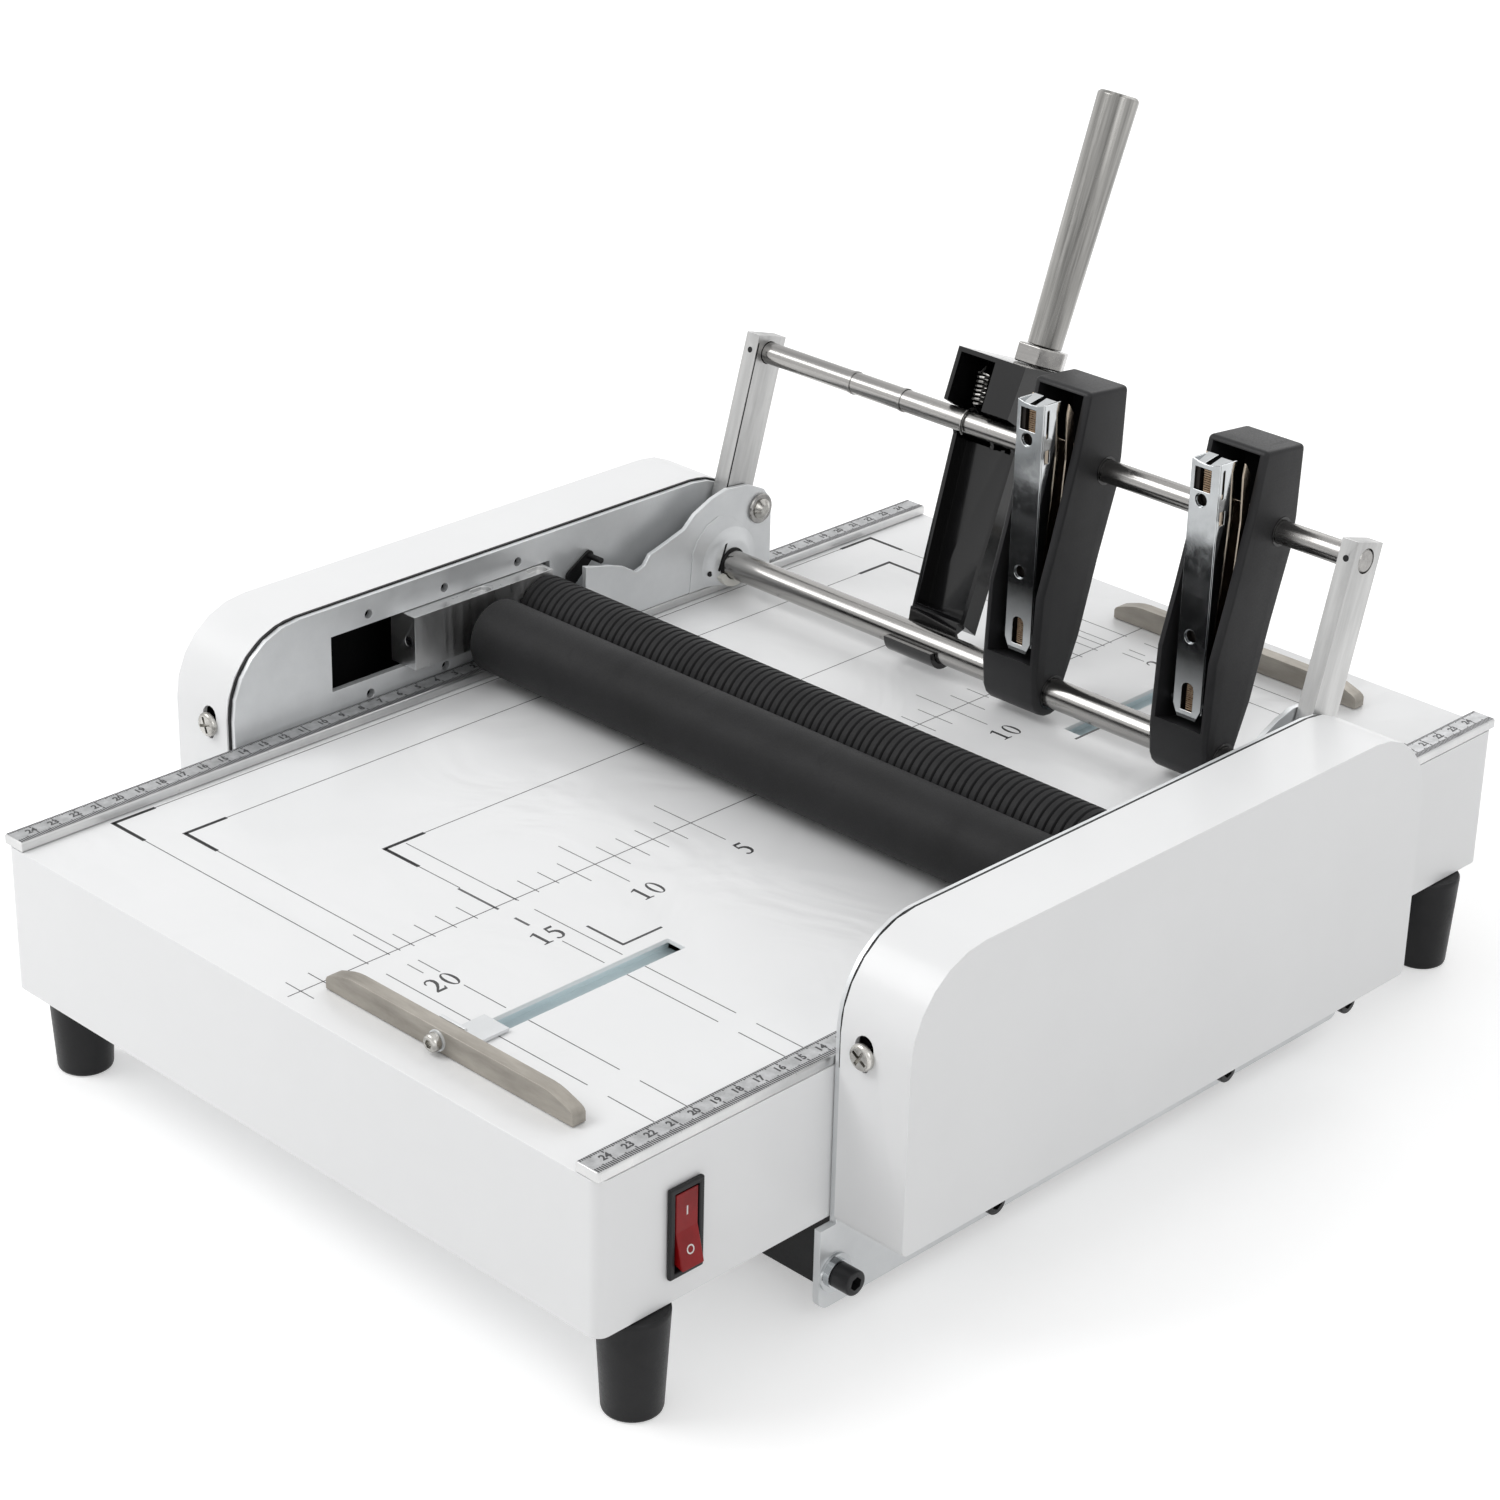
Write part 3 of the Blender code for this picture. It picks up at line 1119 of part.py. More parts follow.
def handle_bracket(head, gloss_black):
    left = HANDLE_BRACKET_LEFT
    right = left + HANDLE_BRACKET_WIDTH
    wall = HANDLE_BRACKET_WALL
    lean = math.tan(math.radians(HANDLE_LEAN_DEG))
    rod_clear = UPPER_ROD_RADIUS + GAP
    reach = HANDLE_BACK

    def top_at(y, drop=0.0):
        """The height of the top web, square to the handle, at a place in front of or behind the rods."""
        return (y, HANDLE_BRACKET_TOP - drop + (reach - y) * lean)

    front = -HANDLE_BRACKET_FRONT
    back = HANDLE_BRACKET_DEPTH
    notch = arc((0, ROD_SPACING), rod_clear, math.pi / 2, -math.pi / 4, ARC_STEPS)
    outline = [
        top_at(front), (front - wall, ROD_SPACING + rod_clear + wall), *notch,
        (HANDLE_BRACKET_FACE, ROD_SPACING - rod_clear - wall), (HANDLE_BRACKET_FACE, HANDLE_BRACKET_FOOT),
        (HANDLE_BRACKET_BACK, HANDLE_BRACKET_HEEL), (HANDLE_BRACKET_BACK, HANDLE_BRACKET_FLARE_LOW),
        (back, HANDLE_BRACKET_FLARE_HIGH), top_at(back),
    ]
    shell_back = HANDLE_BRACKET_BACK - wall
    shell_foot = HANDLE_BRACKET_FOOT + wall
    low = HANDLE_PANEL_FOOT - wall / 2
    deep = [
        (shell_back, low), (back - wall, HANDLE_BRACKET_FLARE_HIGH + wall), top_at(back - wall, wall)
    ]
    recess = [top_at(-back, wall), (-back, low), *deep]
    recess_high = left + wall + HANDLE_RECESS_WIDTH
    panel = HANDLE_BRACKET_FRONT
    pocket = [top_at(wall - panel, wall), (wall - panel, low), *deep]

    def right_at(z):
        return right - HANDLE_BRACKET_TAPER * (1 - z / HANDLE_BRACKET_TOP)

    side_cut = [
        (right_at(2 * HANDLE_BRACKET_TOP), 2 * HANDLE_BRACKET_TOP), (right_at(-wall), -wall),
        (-wall, -wall), (-wall, 2 * HANDLE_BRACKET_TOP),
    ]
    channel = [
        (left + wall, shell_foot), (right_at(shell_foot) - wall, shell_foot),
        (right_at(HANDLE_PANEL_FOOT) - wall, HANDLE_PANEL_FOOT), (left + wall, HANDLE_PANEL_FOOT),
    ]
    hole = handle_hole(wall)
    body = prism("x", outline, left, right)
    clip = prism("x", clip_outline(), left, left + CLIP_WIDTH)
    piece(
        "handle_bracket", body, gloss_black, head,
        joins=[clip],
        cuts=[
            prism("y", channel, -back, shell_back),
            prism("x", recess, left + wall, recess_high),
            prism("x", pocket, recess_high + wall, right_at(low) - wall),
            prism("y", side_cut, -2 * back, 2 * back),
            hole,
        ],
    )


def clip_outline():
    """A strap round the back and underside of the lower rod."""
    inner = LOWER_ROD_RADIUS + GAP
    start = math.pi / 4
    end = -math.pi * 11 / 12
    strap = arc((0, 0), CLIP_RADIUS, start, end, SMALL_STEPS) + arc((0, 0), inner, end, start, SMALL_STEPS)
    tab = (HANDLE_BRACKET_BACK - HANDLE_BRACKET_WALL, HANDLE_BRACKET_FOOT)
    return [tab, *strap[:-1], (inner * math.cos(start), HANDLE_BRACKET_FOOT)]


def handle_frame():
    """The middle of the handle's foot on the bracket's top web, in the head's frame."""
    return (HANDLE_X, HANDLE_BACK, HANDLE_BRACKET_TOP)


def handle_hole(wall):
    lean = math.radians(HANDLE_LEAN_DEG)
    hole = rod("z", (0, 0), HANDLE_STUD_RADIUS + GAP, -wall - OVERRUN, OVERRUN)
    for vertex in hole.verts:
        x, y, z = vertex.co
        turned_y = y * math.cos(lean) + z * math.sin(lean)
        turned_z = z * math.cos(lean) - y * math.sin(lean)
        vertex.co = Vector((x, turned_y, turned_z)) + Vector(handle_frame())
    return hole


def handle(grip, chrome, steel):
    """The handle, its stud and its nut stand on the bracket's top web."""
    stud_low = -HANDLE_BRACKET_WALL - HANDLE_STUD_END
    base = GAP + NUT_HEIGHT + GAP
    top = base + HANDLE_LENGTH
    edge = HANDLE_EDGE
    profile = [
        (stud_low, 0), (stud_low, HANDLE_STUD_RADIUS), (base, HANDLE_STUD_RADIUS), (base, HANDLE_BASE_RADIUS),
        (top - edge, HANDLE_TOP_RADIUS), (top, HANDLE_TOP_RADIUS - edge), (top, 0),
    ]
    piece("handle", turned("z", (0, 0), profile), steel, grip)
    corner = NUT_FLATS / 2 / math.cos(math.pi / 6)
    hexagon = circle((0, 0), corner, 6)
    bore = circle((0, 0), HANDLE_STUD_RADIUS + GAP)
    piece("handle_nut", prism("z", hexagon, GAP, GAP + NUT_HEIGHT, [bore]), chrome, grip)


def handle_spring(head, steel):
    """One unbroken wire: a hook round the upper rod, the curls, and an end under the bracket's top web."""
    hook_radius = UPPER_ROD_RADIUS + SPRING_HOOK_CLEARANCE + SPRING_WIRE / 2
    top = HANDLE_BRACKET_TOP - HANDLE_BRACKET_WALL
    end_y = SPRING_RADIUS
    start_z = ROD_SPACING + hook_radius + SPRING_RADIUS
    end_z = top - SPRING_WIRE - SPRING_RADIUS
    points = []
    hook_steps = SPRING_CURL_POINTS
    for k in range(hook_steps + 1):
        angle = -math.pi / 2 - math.pi / 6 - (math.pi + math.pi / 6) * k / hook_steps
        share = k / hook_steps
        y = hook_radius * math.cos(angle)
        z = ROD_SPACING + hook_radius * math.sin(angle)
        points.append(Vector((SPRING_X + share * 0, y, z)))
    rise = (end_z - start_z) / SPRING_CURLS
    count = SPRING_CURLS * SPRING_CURL_POINTS
    for k in range(count + 1):
        angle = math.tau * k / SPRING_CURL_POINTS
        x = SPRING_X + SPRING_RADIUS * math.sin(angle)
        y = end_y - SPRING_RADIUS * math.cos(angle)
        points.append(Vector((x, y, start_z + rise * k / SPRING_CURL_POINTS)))
    points.append(Vector((SPRING_X, end_y, top - SPRING_WIRE)))
    curve = bpy.data.curves.new("handle_spring", "CURVE")
    curve.dimensions = "3D"
    curve.bevel_depth = SPRING_WIRE / 2
    curve.bevel_resolution = 1
    curve.use_fill_caps = True
    spline = curve.splines.new("POLY")
    spline.points.add(len(points) - 1)
    for target, point in zip(spline.points, points):
        target.co = (*point, 1.0)
    curve.materials.append(steel)
    made = bpy.data.objects.new("handle_spring", curve)
    bpy.context.scene.collection.objects.link(made)
    made.parent = head
    report_least_gap(points)


def report_least_gap(points):
    """Prints the least gap between curls of the spring, measured between points a half curl or more apart."""
    apart = SPRING_CURL_POINTS // 2
    least = min(
        (points[i] - points[j]).length
        for i in range(len(points))
        for j in range(i + apart, len(points))
    )
    print(f"handle_spring least gap to itself: {(least - SPRING_WIRE) * 1000:.2f} mm")


# Paper stops

def paper_stop(name, carrier, sign, slot_x, left, length, face, steel, zinc, dark):
    """Bar, slider and screw of one stop; sign is -1 for the front one, and the carrier stands at Y = 0."""
    half = STOP_THICKNESS / 2
    near = face
    far = face + STOP_THICKNESS
    low, high = sided(sign, (near, far))
    outline = capsule((left + half, (low + high) / 2), half, (left + length - half, (low + high) / 2), half)
    screw_z = GAP + STOP_HEIGHT / 2
    hole = rod("y", (slot_x, screw_z), STOP_SCREW_RADIUS + GAP, low - OVERRUN, high + OVERRUN, SMALL_STEPS)
    piece(f"{name}_bar", prism("z", outline, GAP, GAP + STOP_HEIGHT), steel, carrier, cuts=[hole])
    slider_far = STOP_SLOT_END - SLACK
    slider_near = slider_far - STOP_SLIDER_LENGTH
    tab_far = near - GAP
    plate = STOP_SLIDER_PLATE
    half_width = STOP_SLIDER_WIDTH / 2
    y_low, y_high = sided(sign, (slider_near, tab_far))
    leg = box((slot_x - half_width, y_low, GAP), (slot_x + half_width, y_high, GAP + plate))
    y_low, y_high = sided(sign, (tab_far - plate, tab_far))
    tab = box((slot_x - half_width, y_low, GAP), (slot_x + half_width, y_high, GAP + STOP_HEIGHT))
    half_foot = STOP_SLOT_WIDTH / 2 - GAP
    y_low, y_high = sided(sign, (slider_near, slider_far))
    foot = box((slot_x - half_foot, y_low, -STOP_SLIDER_DEPTH), (slot_x + half_foot, y_high, GAP + plate / 2))
    tap_low, tap_high = sided(sign, (tab_far - plate - OVERRUN, tab_far + OVERRUN))
    tap = rod("y", (slot_x, screw_z), STOP_SCREW_RADIUS + GAP, tap_low, tap_high, SMALL_STEPS)
    piece(f"{name}_slider", leg, zinc, carrier, joins=[tab, foot], cuts=[tap])
    head_low = far + GAP
    profile = [
        (sign * (tab_far - plate - GAP), 0), (sign * (tab_far - plate - GAP), STOP_SCREW_RADIUS),
        (sign * head_low, STOP_SCREW_RADIUS), (sign * head_low, STOP_SCREW_HEAD_RADIUS),
        (sign * (head_low + STOP_SCREW_HEAD_HEIGHT), STOP_SCREW_HEAD_RADIUS),
        (sign * (head_low + STOP_SCREW_HEAD_HEIGHT), 0),
    ]
    piece(f"{name}_screw", turned("y", (slot_x, screw_z), profile, SMALL_STEPS), dark, carrier)


# Fold blade, guide, lift shaft and anvil

def fold_blade(blade, steel, zinc):
    half = BLADE_THICKNESS / 2
    foot = -BLADE_TIP - BLADE_HEIGHT
    tip = [
        (-half, foot), (half, foot), (half, -BLADE_TIP - BLADE_THICKNESS), (0, -BLADE_TIP),
        (-half, -BLADE_TIP - BLADE_THICKNESS),
    ]
    piece("fold_blade", prism("x", tip, -BLADE_LENGTH / 2, BLADE_LENGTH / 2), steel, blade)
    width = HOLDER_WIDTH / 2
    top = foot + HOLDER_GRIP - GAP
    groove = half + GAP
    bottom = top - HOLDER_HEIGHT
    outline = [
        (-width, bottom), (width, bottom), (width, top), (groove, top), (groove, foot - GAP),
        (-groove, foot - GAP), (-groove, top), (-width, top),
    ]
    piece("blade_holder", prism("x", outline, -HOLDER_LENGTH / 2, HOLDER_LENGTH / 2), zinc, blade)


def holder_bottom():
    return HOLDER_GRIP - GAP - BLADE_TIP - BLADE_HEIGHT - HOLDER_HEIGHT


def lift_place():
    """The lift shaft's place: its arms are level halfway through the lift."""
    angle = lift_angle()
    z = holder_bottom() - LIFT_GAP - LIFT_ROLLER_RADIUS + LIFT_ARM * math.sin(angle)
    return (LIFT_ARM * math.cos(angle), z)


def lift_angle():
    return math.asin(BLADE_LIFT / 2 / LIFT_ARM)


def lift_shaft(carrier, zinc):
    angle = lift_angle()
    tip = (-LIFT_ARM * math.cos(angle), -LIFT_ARM * math.sin(angle))
    end = HALF_TABLE - TABLE_WALL - GAP
    arms_made = []
    for x in (-LIFT_ARM_X, LIFT_ARM_X):
        outline = lever_arm((0, 0), LIFT_HUB_RADIUS, tip, LIFT_ROLLER_RADIUS, LIFT_NECK)
        half = LIFT_ARM_THICKNESS / 2
        arms_made.append(prism("x", outline, x - half, x + half))
    piece("lift_shaft", rod("x", (0, 0), LIFT_SHAFT_RADIUS, -end, end, SMALL_STEPS), zinc, carrier, joins=arms_made)


def blade_guide(frame, zinc):
    half = ANVIL_LENGTH / 2
    under = -TABLE_WALL - GAP
    near = HOLDER_WIDTH / 2 + 2 * GAP
    far = near + GUIDE_THICKNESS
    wall = box((-half, near, under - GUIDE_HEIGHT), (half, far, under))
    flange = box((-half, near, under - GUIDE_THICKNESS), (half, near + GUIDE_FLANGE, under))
    legs = []
    for side in (-1, 1):
        low, high = sided(side, (half - GUIDE_LEG_WIDTH, half))
        legs.append(box((low, near, under - GUIDE_LEG_LENGTH), (high, far, under)))
    piece("blade_guide", wall, zinc, frame, joins=[flange, *legs])


def anvil_bar(frame, steel):
    half = ANVIL_LENGTH / 2
    far = ANVIL_WIDTH - ANVIL_NEAR
    flange_top = -ANVIL_FLANGE_DROP
    outline = [
        (-ANVIL_NEAR, -ANVIL_SUNK), (-ANVIL_NEAR, flange_top), (-ANVIL_NEAR - ANVIL_FLANGE, flange_top),
        (-ANVIL_NEAR - ANVIL_FLANGE, -ANVIL_HEIGHT), (far, -ANVIL_HEIGHT), (far, -ANVIL_SUNK),
    ]
    piece("anvil_bar", prism("x", outline, -half, half), steel, frame)


# Switch and inlet

def power_switch(frame, rocker, black, red):
    half_width = SWITCH_WIDTH / 2
    half_height = SWITCH_HEIGHT / 2
    frame_width = SWITCH_FRAME
    face = HALF_TABLE + GAP
    rim = box(
        (face, SWITCH_Y - half_width, SWITCH_Z - half_height),
        (face + SWITCH_PROUD, SWITCH_Y + half_width, SWITCH_Z + half_height),
    )
    sleeve = frame_width / 2 + GAP
    well = box(
        (HALF_TABLE - SWITCH_DEPTH, SWITCH_Y - half_width + sleeve, SWITCH_Z - half_height + sleeve),
        (face + SWITCH_PROUD / 2, SWITCH_Y + half_width - sleeve, SWITCH_Z + half_height - sleeve),
    )
    hollow = box(
        (HALF_TABLE - SWITCH_DEPTH + frame_width, SWITCH_Y - half_width + frame_width, SWITCH_Z - half_height + frame_width),
        (face + SWITCH_PROUD + OVERRUN, SWITCH_Y + half_width - frame_width, SWITCH_Z + half_height - frame_width),
    )
    piece("switch_bezel", rim, black, frame, joins=[well], cuts=[hollow])
    tilt = math.tan(math.radians(ROCKER_ANGLE_DEG))
    reach = half_height - frame_width - SLACK
    rise = reach * ROCKER_END_SHARE * tilt
    proud = SWITCH_PROUD
    end = reach * ROCKER_END_SHARE
    outline = [
        (proud, reach), (proud, 0), (proud + rise, -end), (proud + rise - ROCKER_DEPTH, -reach * 3 / 4),
        (proud - ROCKER_DEPTH, reach * 3 / 4),
    ]
    half = half_width - frame_width - SLACK
    piece("switch_rocker", prism("y", outline, -half, half), red, rocker)


def power_inlet(frame, black):
    half_width = INLET_WIDTH / 2
    half_height = INLET_HEIGHT / 2
    face = HALF_LENGTH
    sleeve = INLET_WALL / 2 + GAP
    inner = INLET_WALL
    outer = box(
        (INLET_X - half_width + sleeve, face - INLET_DEPTH, INLET_Z - half_height + sleeve),
        (INLET_X + half_width - sleeve, face - GAP, INLET_Z + half_height - sleeve),
    )
    hollow = box(
        (INLET_X - half_width + sleeve + inner, face - INLET_DEPTH + inner, INLET_Z - half_height + sleeve + inner),
        (INLET_X + half_width - sleeve - inner, face + OVERRUN, INLET_Z + half_height - sleeve - inner),
    )
    piece("power_inlet", outer, black, frame, cuts=[hollow])


def main():
    clear_scene()
    white = material("white_powder_coat", (0.86, 0.87, 0.88), 0.45)
    zinc = material("zinc_steel", (0.62, 0.64, 0.65), 0.38, 1.0)
    steel = material("brushed_steel", (0.60, 0.59, 0.57), 0.35, 1.0)
    bright = material("bright_steel", (0.72, 0.72, 0.72), 0.2, 1.0)
    stop_steel = material("stop_steel", (0.52, 0.49, 0.45), 0.5, 1.0)
    aluminium = material("machined_aluminium", (0.76, 0.77, 0.78), 0.35, 1.0)
    chrome = material("chrome", (0.80, 0.81, 0.82), 0.1, 1.0)
    rubber = material("roller_rubber", (0.05, 0.05, 0.055), 0.6)
    black = material("satin_black", (0.03, 0.03, 0.032), 0.45)
    gloss_black = material("gloss_black", (0.02, 0.02, 0.022), 0.2)
    plastic = material("gear_plastic", (0.80, 0.79, 0.74), 0.5)
    brass = material("brass", (0.70, 0.55, 0.28), 0.35, 1.0)
    green = material("board_green", (0.03, 0.20, 0.08), 0.5)
    red = material("switch_red", (0.75, 0.03, 0.02), 0.25)
    dark = material("dark_steel", (0.12, 0.12, 0.13), 0.4, 1.0)

    frame = empty("frame", (0, 0, TABLE_TOP))
    carriage = empty("carriage", (0, 0, 0), frame)
    places = gear_places()
    carriers = {}
    for name in ("front", "rear"):
        carriers[name] = empty(f"{name}_roller_axis", (0, *places[name]), carriage)
    for name in ("upper", "lower", "pinion"):
        carriers[name] = empty(f"{name}_gear_axis", (0, *places[name]), frame)
    pivot = (0, ROD_Y, ROD_Z)
    cranks = empty("crank_axis", pivot, frame)
    head = empty("head_axis", pivot, frame, HEAD_LEAN)
    staplers = [empty(f"stapler_{n}_place", (x, 0, 0), head) for n, x in enumerate(STAPLER_PLACES, start=1)]
    magazine_axes = []
    for number, carrier in enumerate(staplers, start=1):
        place = magazine_axis()
        magazine_axes.append(empty(f"magazine_{number}_axis", (0, *place), carrier, -HEAD_LEAN))
    grip = empty("handle_place", handle_frame(), head, math.radians(HANDLE_LEAN_DEG))
    blade = empty("blade_slide", (0, 0, 0), frame)
    lift = empty("lift_axis", (0, *lift_place()), frame)
    lever = empty("lever_axis", (0, LEVER_Y, LEVER_Z), frame)
    front_stop = empty("front_stop_slide", (0, 0, 0), frame)
    rear_stop = empty("rear_stop_slide", (0, 0, 0), frame)
    rocker = empty("rocker_axis", (HALF_TABLE, SWITCH_Y, SWITCH_Z), frame)

    table_body(frame, white)
    base_plate(frame, zinc)
    feet(frame, black)
    rulers(frame, steel)
    side_plates(frame, zinc)
    side_covers(frame, white)
    drive_tray(frame, black, zinc, green)
    gear_motor(frame, dark)
    gears(frame, carriers, brass, plastic)
    rollers(carriers, rubber)
    bearing_blocks(carriage, aluminium)
    carriage_links(carriage, zinc)
    head_rods(head, steel, bright)
    arms(head, aluminium)
    carriage_cranks(cranks, zinc)
    pivot_brackets(frame, zinc, chrome)
    trip_lever(lever, black)
    stapler_housings(staplers, black)
    magazines(magazine_axes, chrome)
    handle_bracket(head, gloss_black)
    handle(grip, chrome, steel)
    handle_spring(head, steel)
    paper_stop(
        "front_stop", front_stop, -1, FRONT_STOP_SLOT_X, FRONT_STOP_LEFT, FRONT_STOP_LENGTH, FRONT_STOP_FACE,
        stop_steel, zinc, dark,
    )
    paper_stop(
        "rear_stop", rear_stop, 1, REAR_STOP_SLOT_X, REAR_STOP_LEFT, REAR_STOP_LENGTH, REAR_STOP_FACE,
        stop_steel, zinc, dark,
    )
    fold_blade(blade, steel, zinc)
    lift_shaft(lift, zinc)
    blade_guide(frame, zinc)
    anvil_bar(frame, steel)
    power_switch(frame, rocker, black, red)
    power_inlet(frame, black)


def magazine_axis():
    """The magazine's pin in the head's frame, placed so that the magazine's front face is upright at rest."""
    along = MAGAZINE_PIN_IN * math.cos(HEAD_LEAN) + MAGAZINE_DEPTH / 2 * math.sin(HEAD_LEAN)
    back = MAGAZINE_DEPTH / 2 * math.cos(HEAD_LEAN) - MAGAZINE_PIN_IN * math.sin(HEAD_LEAN)
    return (back - MAGAZINE_FORWARD, MAGAZINE_FOOT + along)


main()
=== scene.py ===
"""The booklet maker's looks: finishes, marks, fasteners and fine shapes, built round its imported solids."""

import json
import math

import bmesh
import bpy
from mathutils import Matrix, Vector
from mathutils.bvhtree import BVHTree
from mathutils.geometry import tessellate_polygon

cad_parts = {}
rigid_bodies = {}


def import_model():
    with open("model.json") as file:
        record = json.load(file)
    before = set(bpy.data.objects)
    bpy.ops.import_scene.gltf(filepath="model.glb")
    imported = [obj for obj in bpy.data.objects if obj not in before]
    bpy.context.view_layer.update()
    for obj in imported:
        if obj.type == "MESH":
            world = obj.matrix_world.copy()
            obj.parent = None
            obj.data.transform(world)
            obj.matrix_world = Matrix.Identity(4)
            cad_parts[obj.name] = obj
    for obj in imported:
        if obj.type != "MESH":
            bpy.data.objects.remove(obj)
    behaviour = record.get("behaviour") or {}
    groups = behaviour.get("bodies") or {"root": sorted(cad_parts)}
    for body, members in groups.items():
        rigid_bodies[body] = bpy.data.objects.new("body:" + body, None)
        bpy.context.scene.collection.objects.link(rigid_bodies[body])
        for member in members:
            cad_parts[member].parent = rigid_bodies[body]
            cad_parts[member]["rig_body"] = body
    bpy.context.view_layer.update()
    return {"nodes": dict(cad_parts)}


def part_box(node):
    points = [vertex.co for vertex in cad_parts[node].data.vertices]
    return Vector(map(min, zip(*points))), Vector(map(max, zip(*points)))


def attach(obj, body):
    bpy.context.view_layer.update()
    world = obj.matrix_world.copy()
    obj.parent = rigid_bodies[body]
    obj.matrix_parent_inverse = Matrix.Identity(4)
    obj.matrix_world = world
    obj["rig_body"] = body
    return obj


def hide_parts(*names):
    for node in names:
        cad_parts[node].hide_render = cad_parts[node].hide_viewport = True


for leftover in list(bpy.data.objects):
    bpy.data.objects.remove(leftover)
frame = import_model()

# Places that the solids share, in metres: X across, Y to the back, Z up from the floor
TOP = 0.1013
HALF_LENGTH = 0.250
ROD_Y, ROD_Z = 0.121, TOP + 0.013
LEAN = math.radians(16.1)
HANDLE_LEAN = math.radians(21.1)
UPPER_ROD_ALONG = 0.09305
LOWER_ROD_RADIUS, UPPER_ROD_RADIUS = 0.0062, 0.00475
PLATE_OUT, COVER_OUT = 0.1657, 0.1978
COVER_NEAR, COVER_FAR = -0.1424, 0.1468
BRACKET_IN = 0.1512
ARM_IN, ARM_OUT = 0.1539, 0.1612
ROLLER_FACE = 0.1552
RULER_FACE = TOP + 0.0042
RULER_TOP = TOP + 0.0046
MAGAZINE_PLACES = ((1, 0.0203), (2, 0.1072))
SIDES = (("left", -1), ("right", 1))
HAIR = 0.00005


# ---------------------------------------------------------------- node trees
def node(tree, kind, inputs=None, **settings):
    """Adds a node. An input takes a value, or an output socket to link from."""
    made = tree.nodes.new(kind)
    for key, value in settings.items():
        setattr(made, key, value)
    for key, value in (inputs or {}).items():
        if isinstance(value, bpy.types.NodeSocket):
            tree.links.new(value, made.inputs[key])
        else:
            made.inputs[key].default_value = value
    return made


def worked_out(tree, operation, *values, kind="ShaderNodeMath", **settings):
    """The result of a math node on these values."""
    return node(tree, kind, dict(enumerate(values)), operation=operation, **settings).outputs[0]


def vector(tree, **axes):
    return node(tree, "ShaderNodeCombineXYZ", axes).outputs[0]


def spread(tree, value, low, high, to_low=0.0, to_high=1.0):
    """Maps low and high on to_low and to_high, and holds at both ends."""
    return node(tree, "ShaderNodeMapRange", {
        "Value": value, "From Min": low, "From Max": high, "To Min": to_low, "To Max": to_high,
    }).outputs["Result"]


def noise(tree, place, scale, detail, **inputs):
    inputs = {"Vector": place, "Scale": scale, "Detail": detail, **inputs}
    return node(tree, "ShaderNodeTexNoise", inputs).outputs["Fac"]


def new_tree(name, kind, inputs, outputs):
    """A node group's tree, inputs and outputs. An input's kind follows from its value, or is the word given for it."""
    tree = bpy.data.node_groups.new(name, kind)
    for label, value in inputs.items():
        word = {float: "Float", int: "Int", str: value}.get(type(value)) or ("Vector" if len(value) == 3 else "Color")
        socket = tree.interface.new_socket(label, in_out="INPUT", socket_type="NodeSocket" + word)
        if word != value:
            socket.default_value = value
    for label, word in outputs.items():
        tree.interface.new_socket(label, in_out="OUTPUT", socket_type="NodeSocket" + word)
    return tree, tree.nodes.new("NodeGroupInput").outputs, tree.nodes.new("NodeGroupOutput").inputs


def drawn_place(tree, take):
    """The object's own coordinates, turned, then drawn out along the axes."""
    place = node(tree, "ShaderNodeTexCoord").outputs["Object"]
    turned_place = node(tree, "ShaderNodeVectorRotate", {"Vector": place, "Rotation": take["Turn"]},
                        rotation_type="EULER_XYZ").outputs[0]
    return worked_out(tree, "MULTIPLY", turned_place, take["Stretch"], kind="ShaderNodeVectorMath")


def fine_grain_group():
    """The surface's own grain, drawn out along any axis: a roughness between two values, and a height."""
    tree, take, result = new_tree("Fine grain", "ShaderNodeTree", {
        "Stretch": (1, 1, 1), "Turn": (0, 0, 0), "Scale": 800.0, "Smooth": 0.3, "Rough": 0.4,
    }, {"Roughness": "Float", "Height": "Float"})
    grain = noise(tree, drawn_place(tree, take), take["Scale"], 5.0, Roughness=0.6)
    tree.links.new(spread(tree, grain, 0.3, 0.7, take["Smooth"], take["Rough"]), result["Roughness"])
    tree.links.new(grain, result["Height"])
    return tree


def tone_drift_group():
    """A slow change between two tones over the piece, with a finer mottle on it. On the chrome, the ground rods and the
    brushed handle, the two tones are painted reflections.
    """
    tree, take, result = new_tree("Tone drift", "ShaderNodeTree", {
        "Tone": (1, 1, 1, 1), "Shade": (0, 0, 0, 1), "Scale": 12.0, "Stretch": (1, 1, 1), "Turn": (0, 0, 0),
    }, {"Color": "Color"})
    slow = noise(tree, drawn_place(tree, take), take["Scale"], 8.0, Roughness=0.62)
    mixed = node(tree, "ShaderNodeMix", {0: spread(tree, slow, 0.32, 0.68), 6: take["Tone"], 7: take["Shade"]},
                 data_type="RGBA")
    tree.links.new(mixed.outputs[2], result["Color"])
    return tree


def handling_group():
    """Marks of use: soft smears and short fine scratches, as a mask."""
    tree, take, result = new_tree("Handling marks", "ShaderNodeTree", {
        "Smear Scale": 25.0, "Scratch Scale": 160.0, "Scratch Amount": 0.5,
    }, {"Mask": "Float"})
    place = node(tree, "ShaderNodeTexCoord").outputs["Object"]
    soft = spread(tree, noise(tree, place, take["Smear Scale"], 3.0, Distortion=0.8), 0.5, 0.75)
    slanted = node(tree, "ShaderNodeMapping", {"Vector": place, "Rotation": (0.3, 0.2, 0.6), "Scale": (1.0, 0.06, 1.0)})
    lines = noise(tree, slanted.outputs[0], take["Scratch Scale"], 2.0)
    thin = spread(tree, lines, 0.66, 0.7, 0.0, take["Scratch Amount"])
    tree.links.new(worked_out(tree, "MAXIMUM", soft, thin, use_clamp=True), result["Mask"])
    return tree


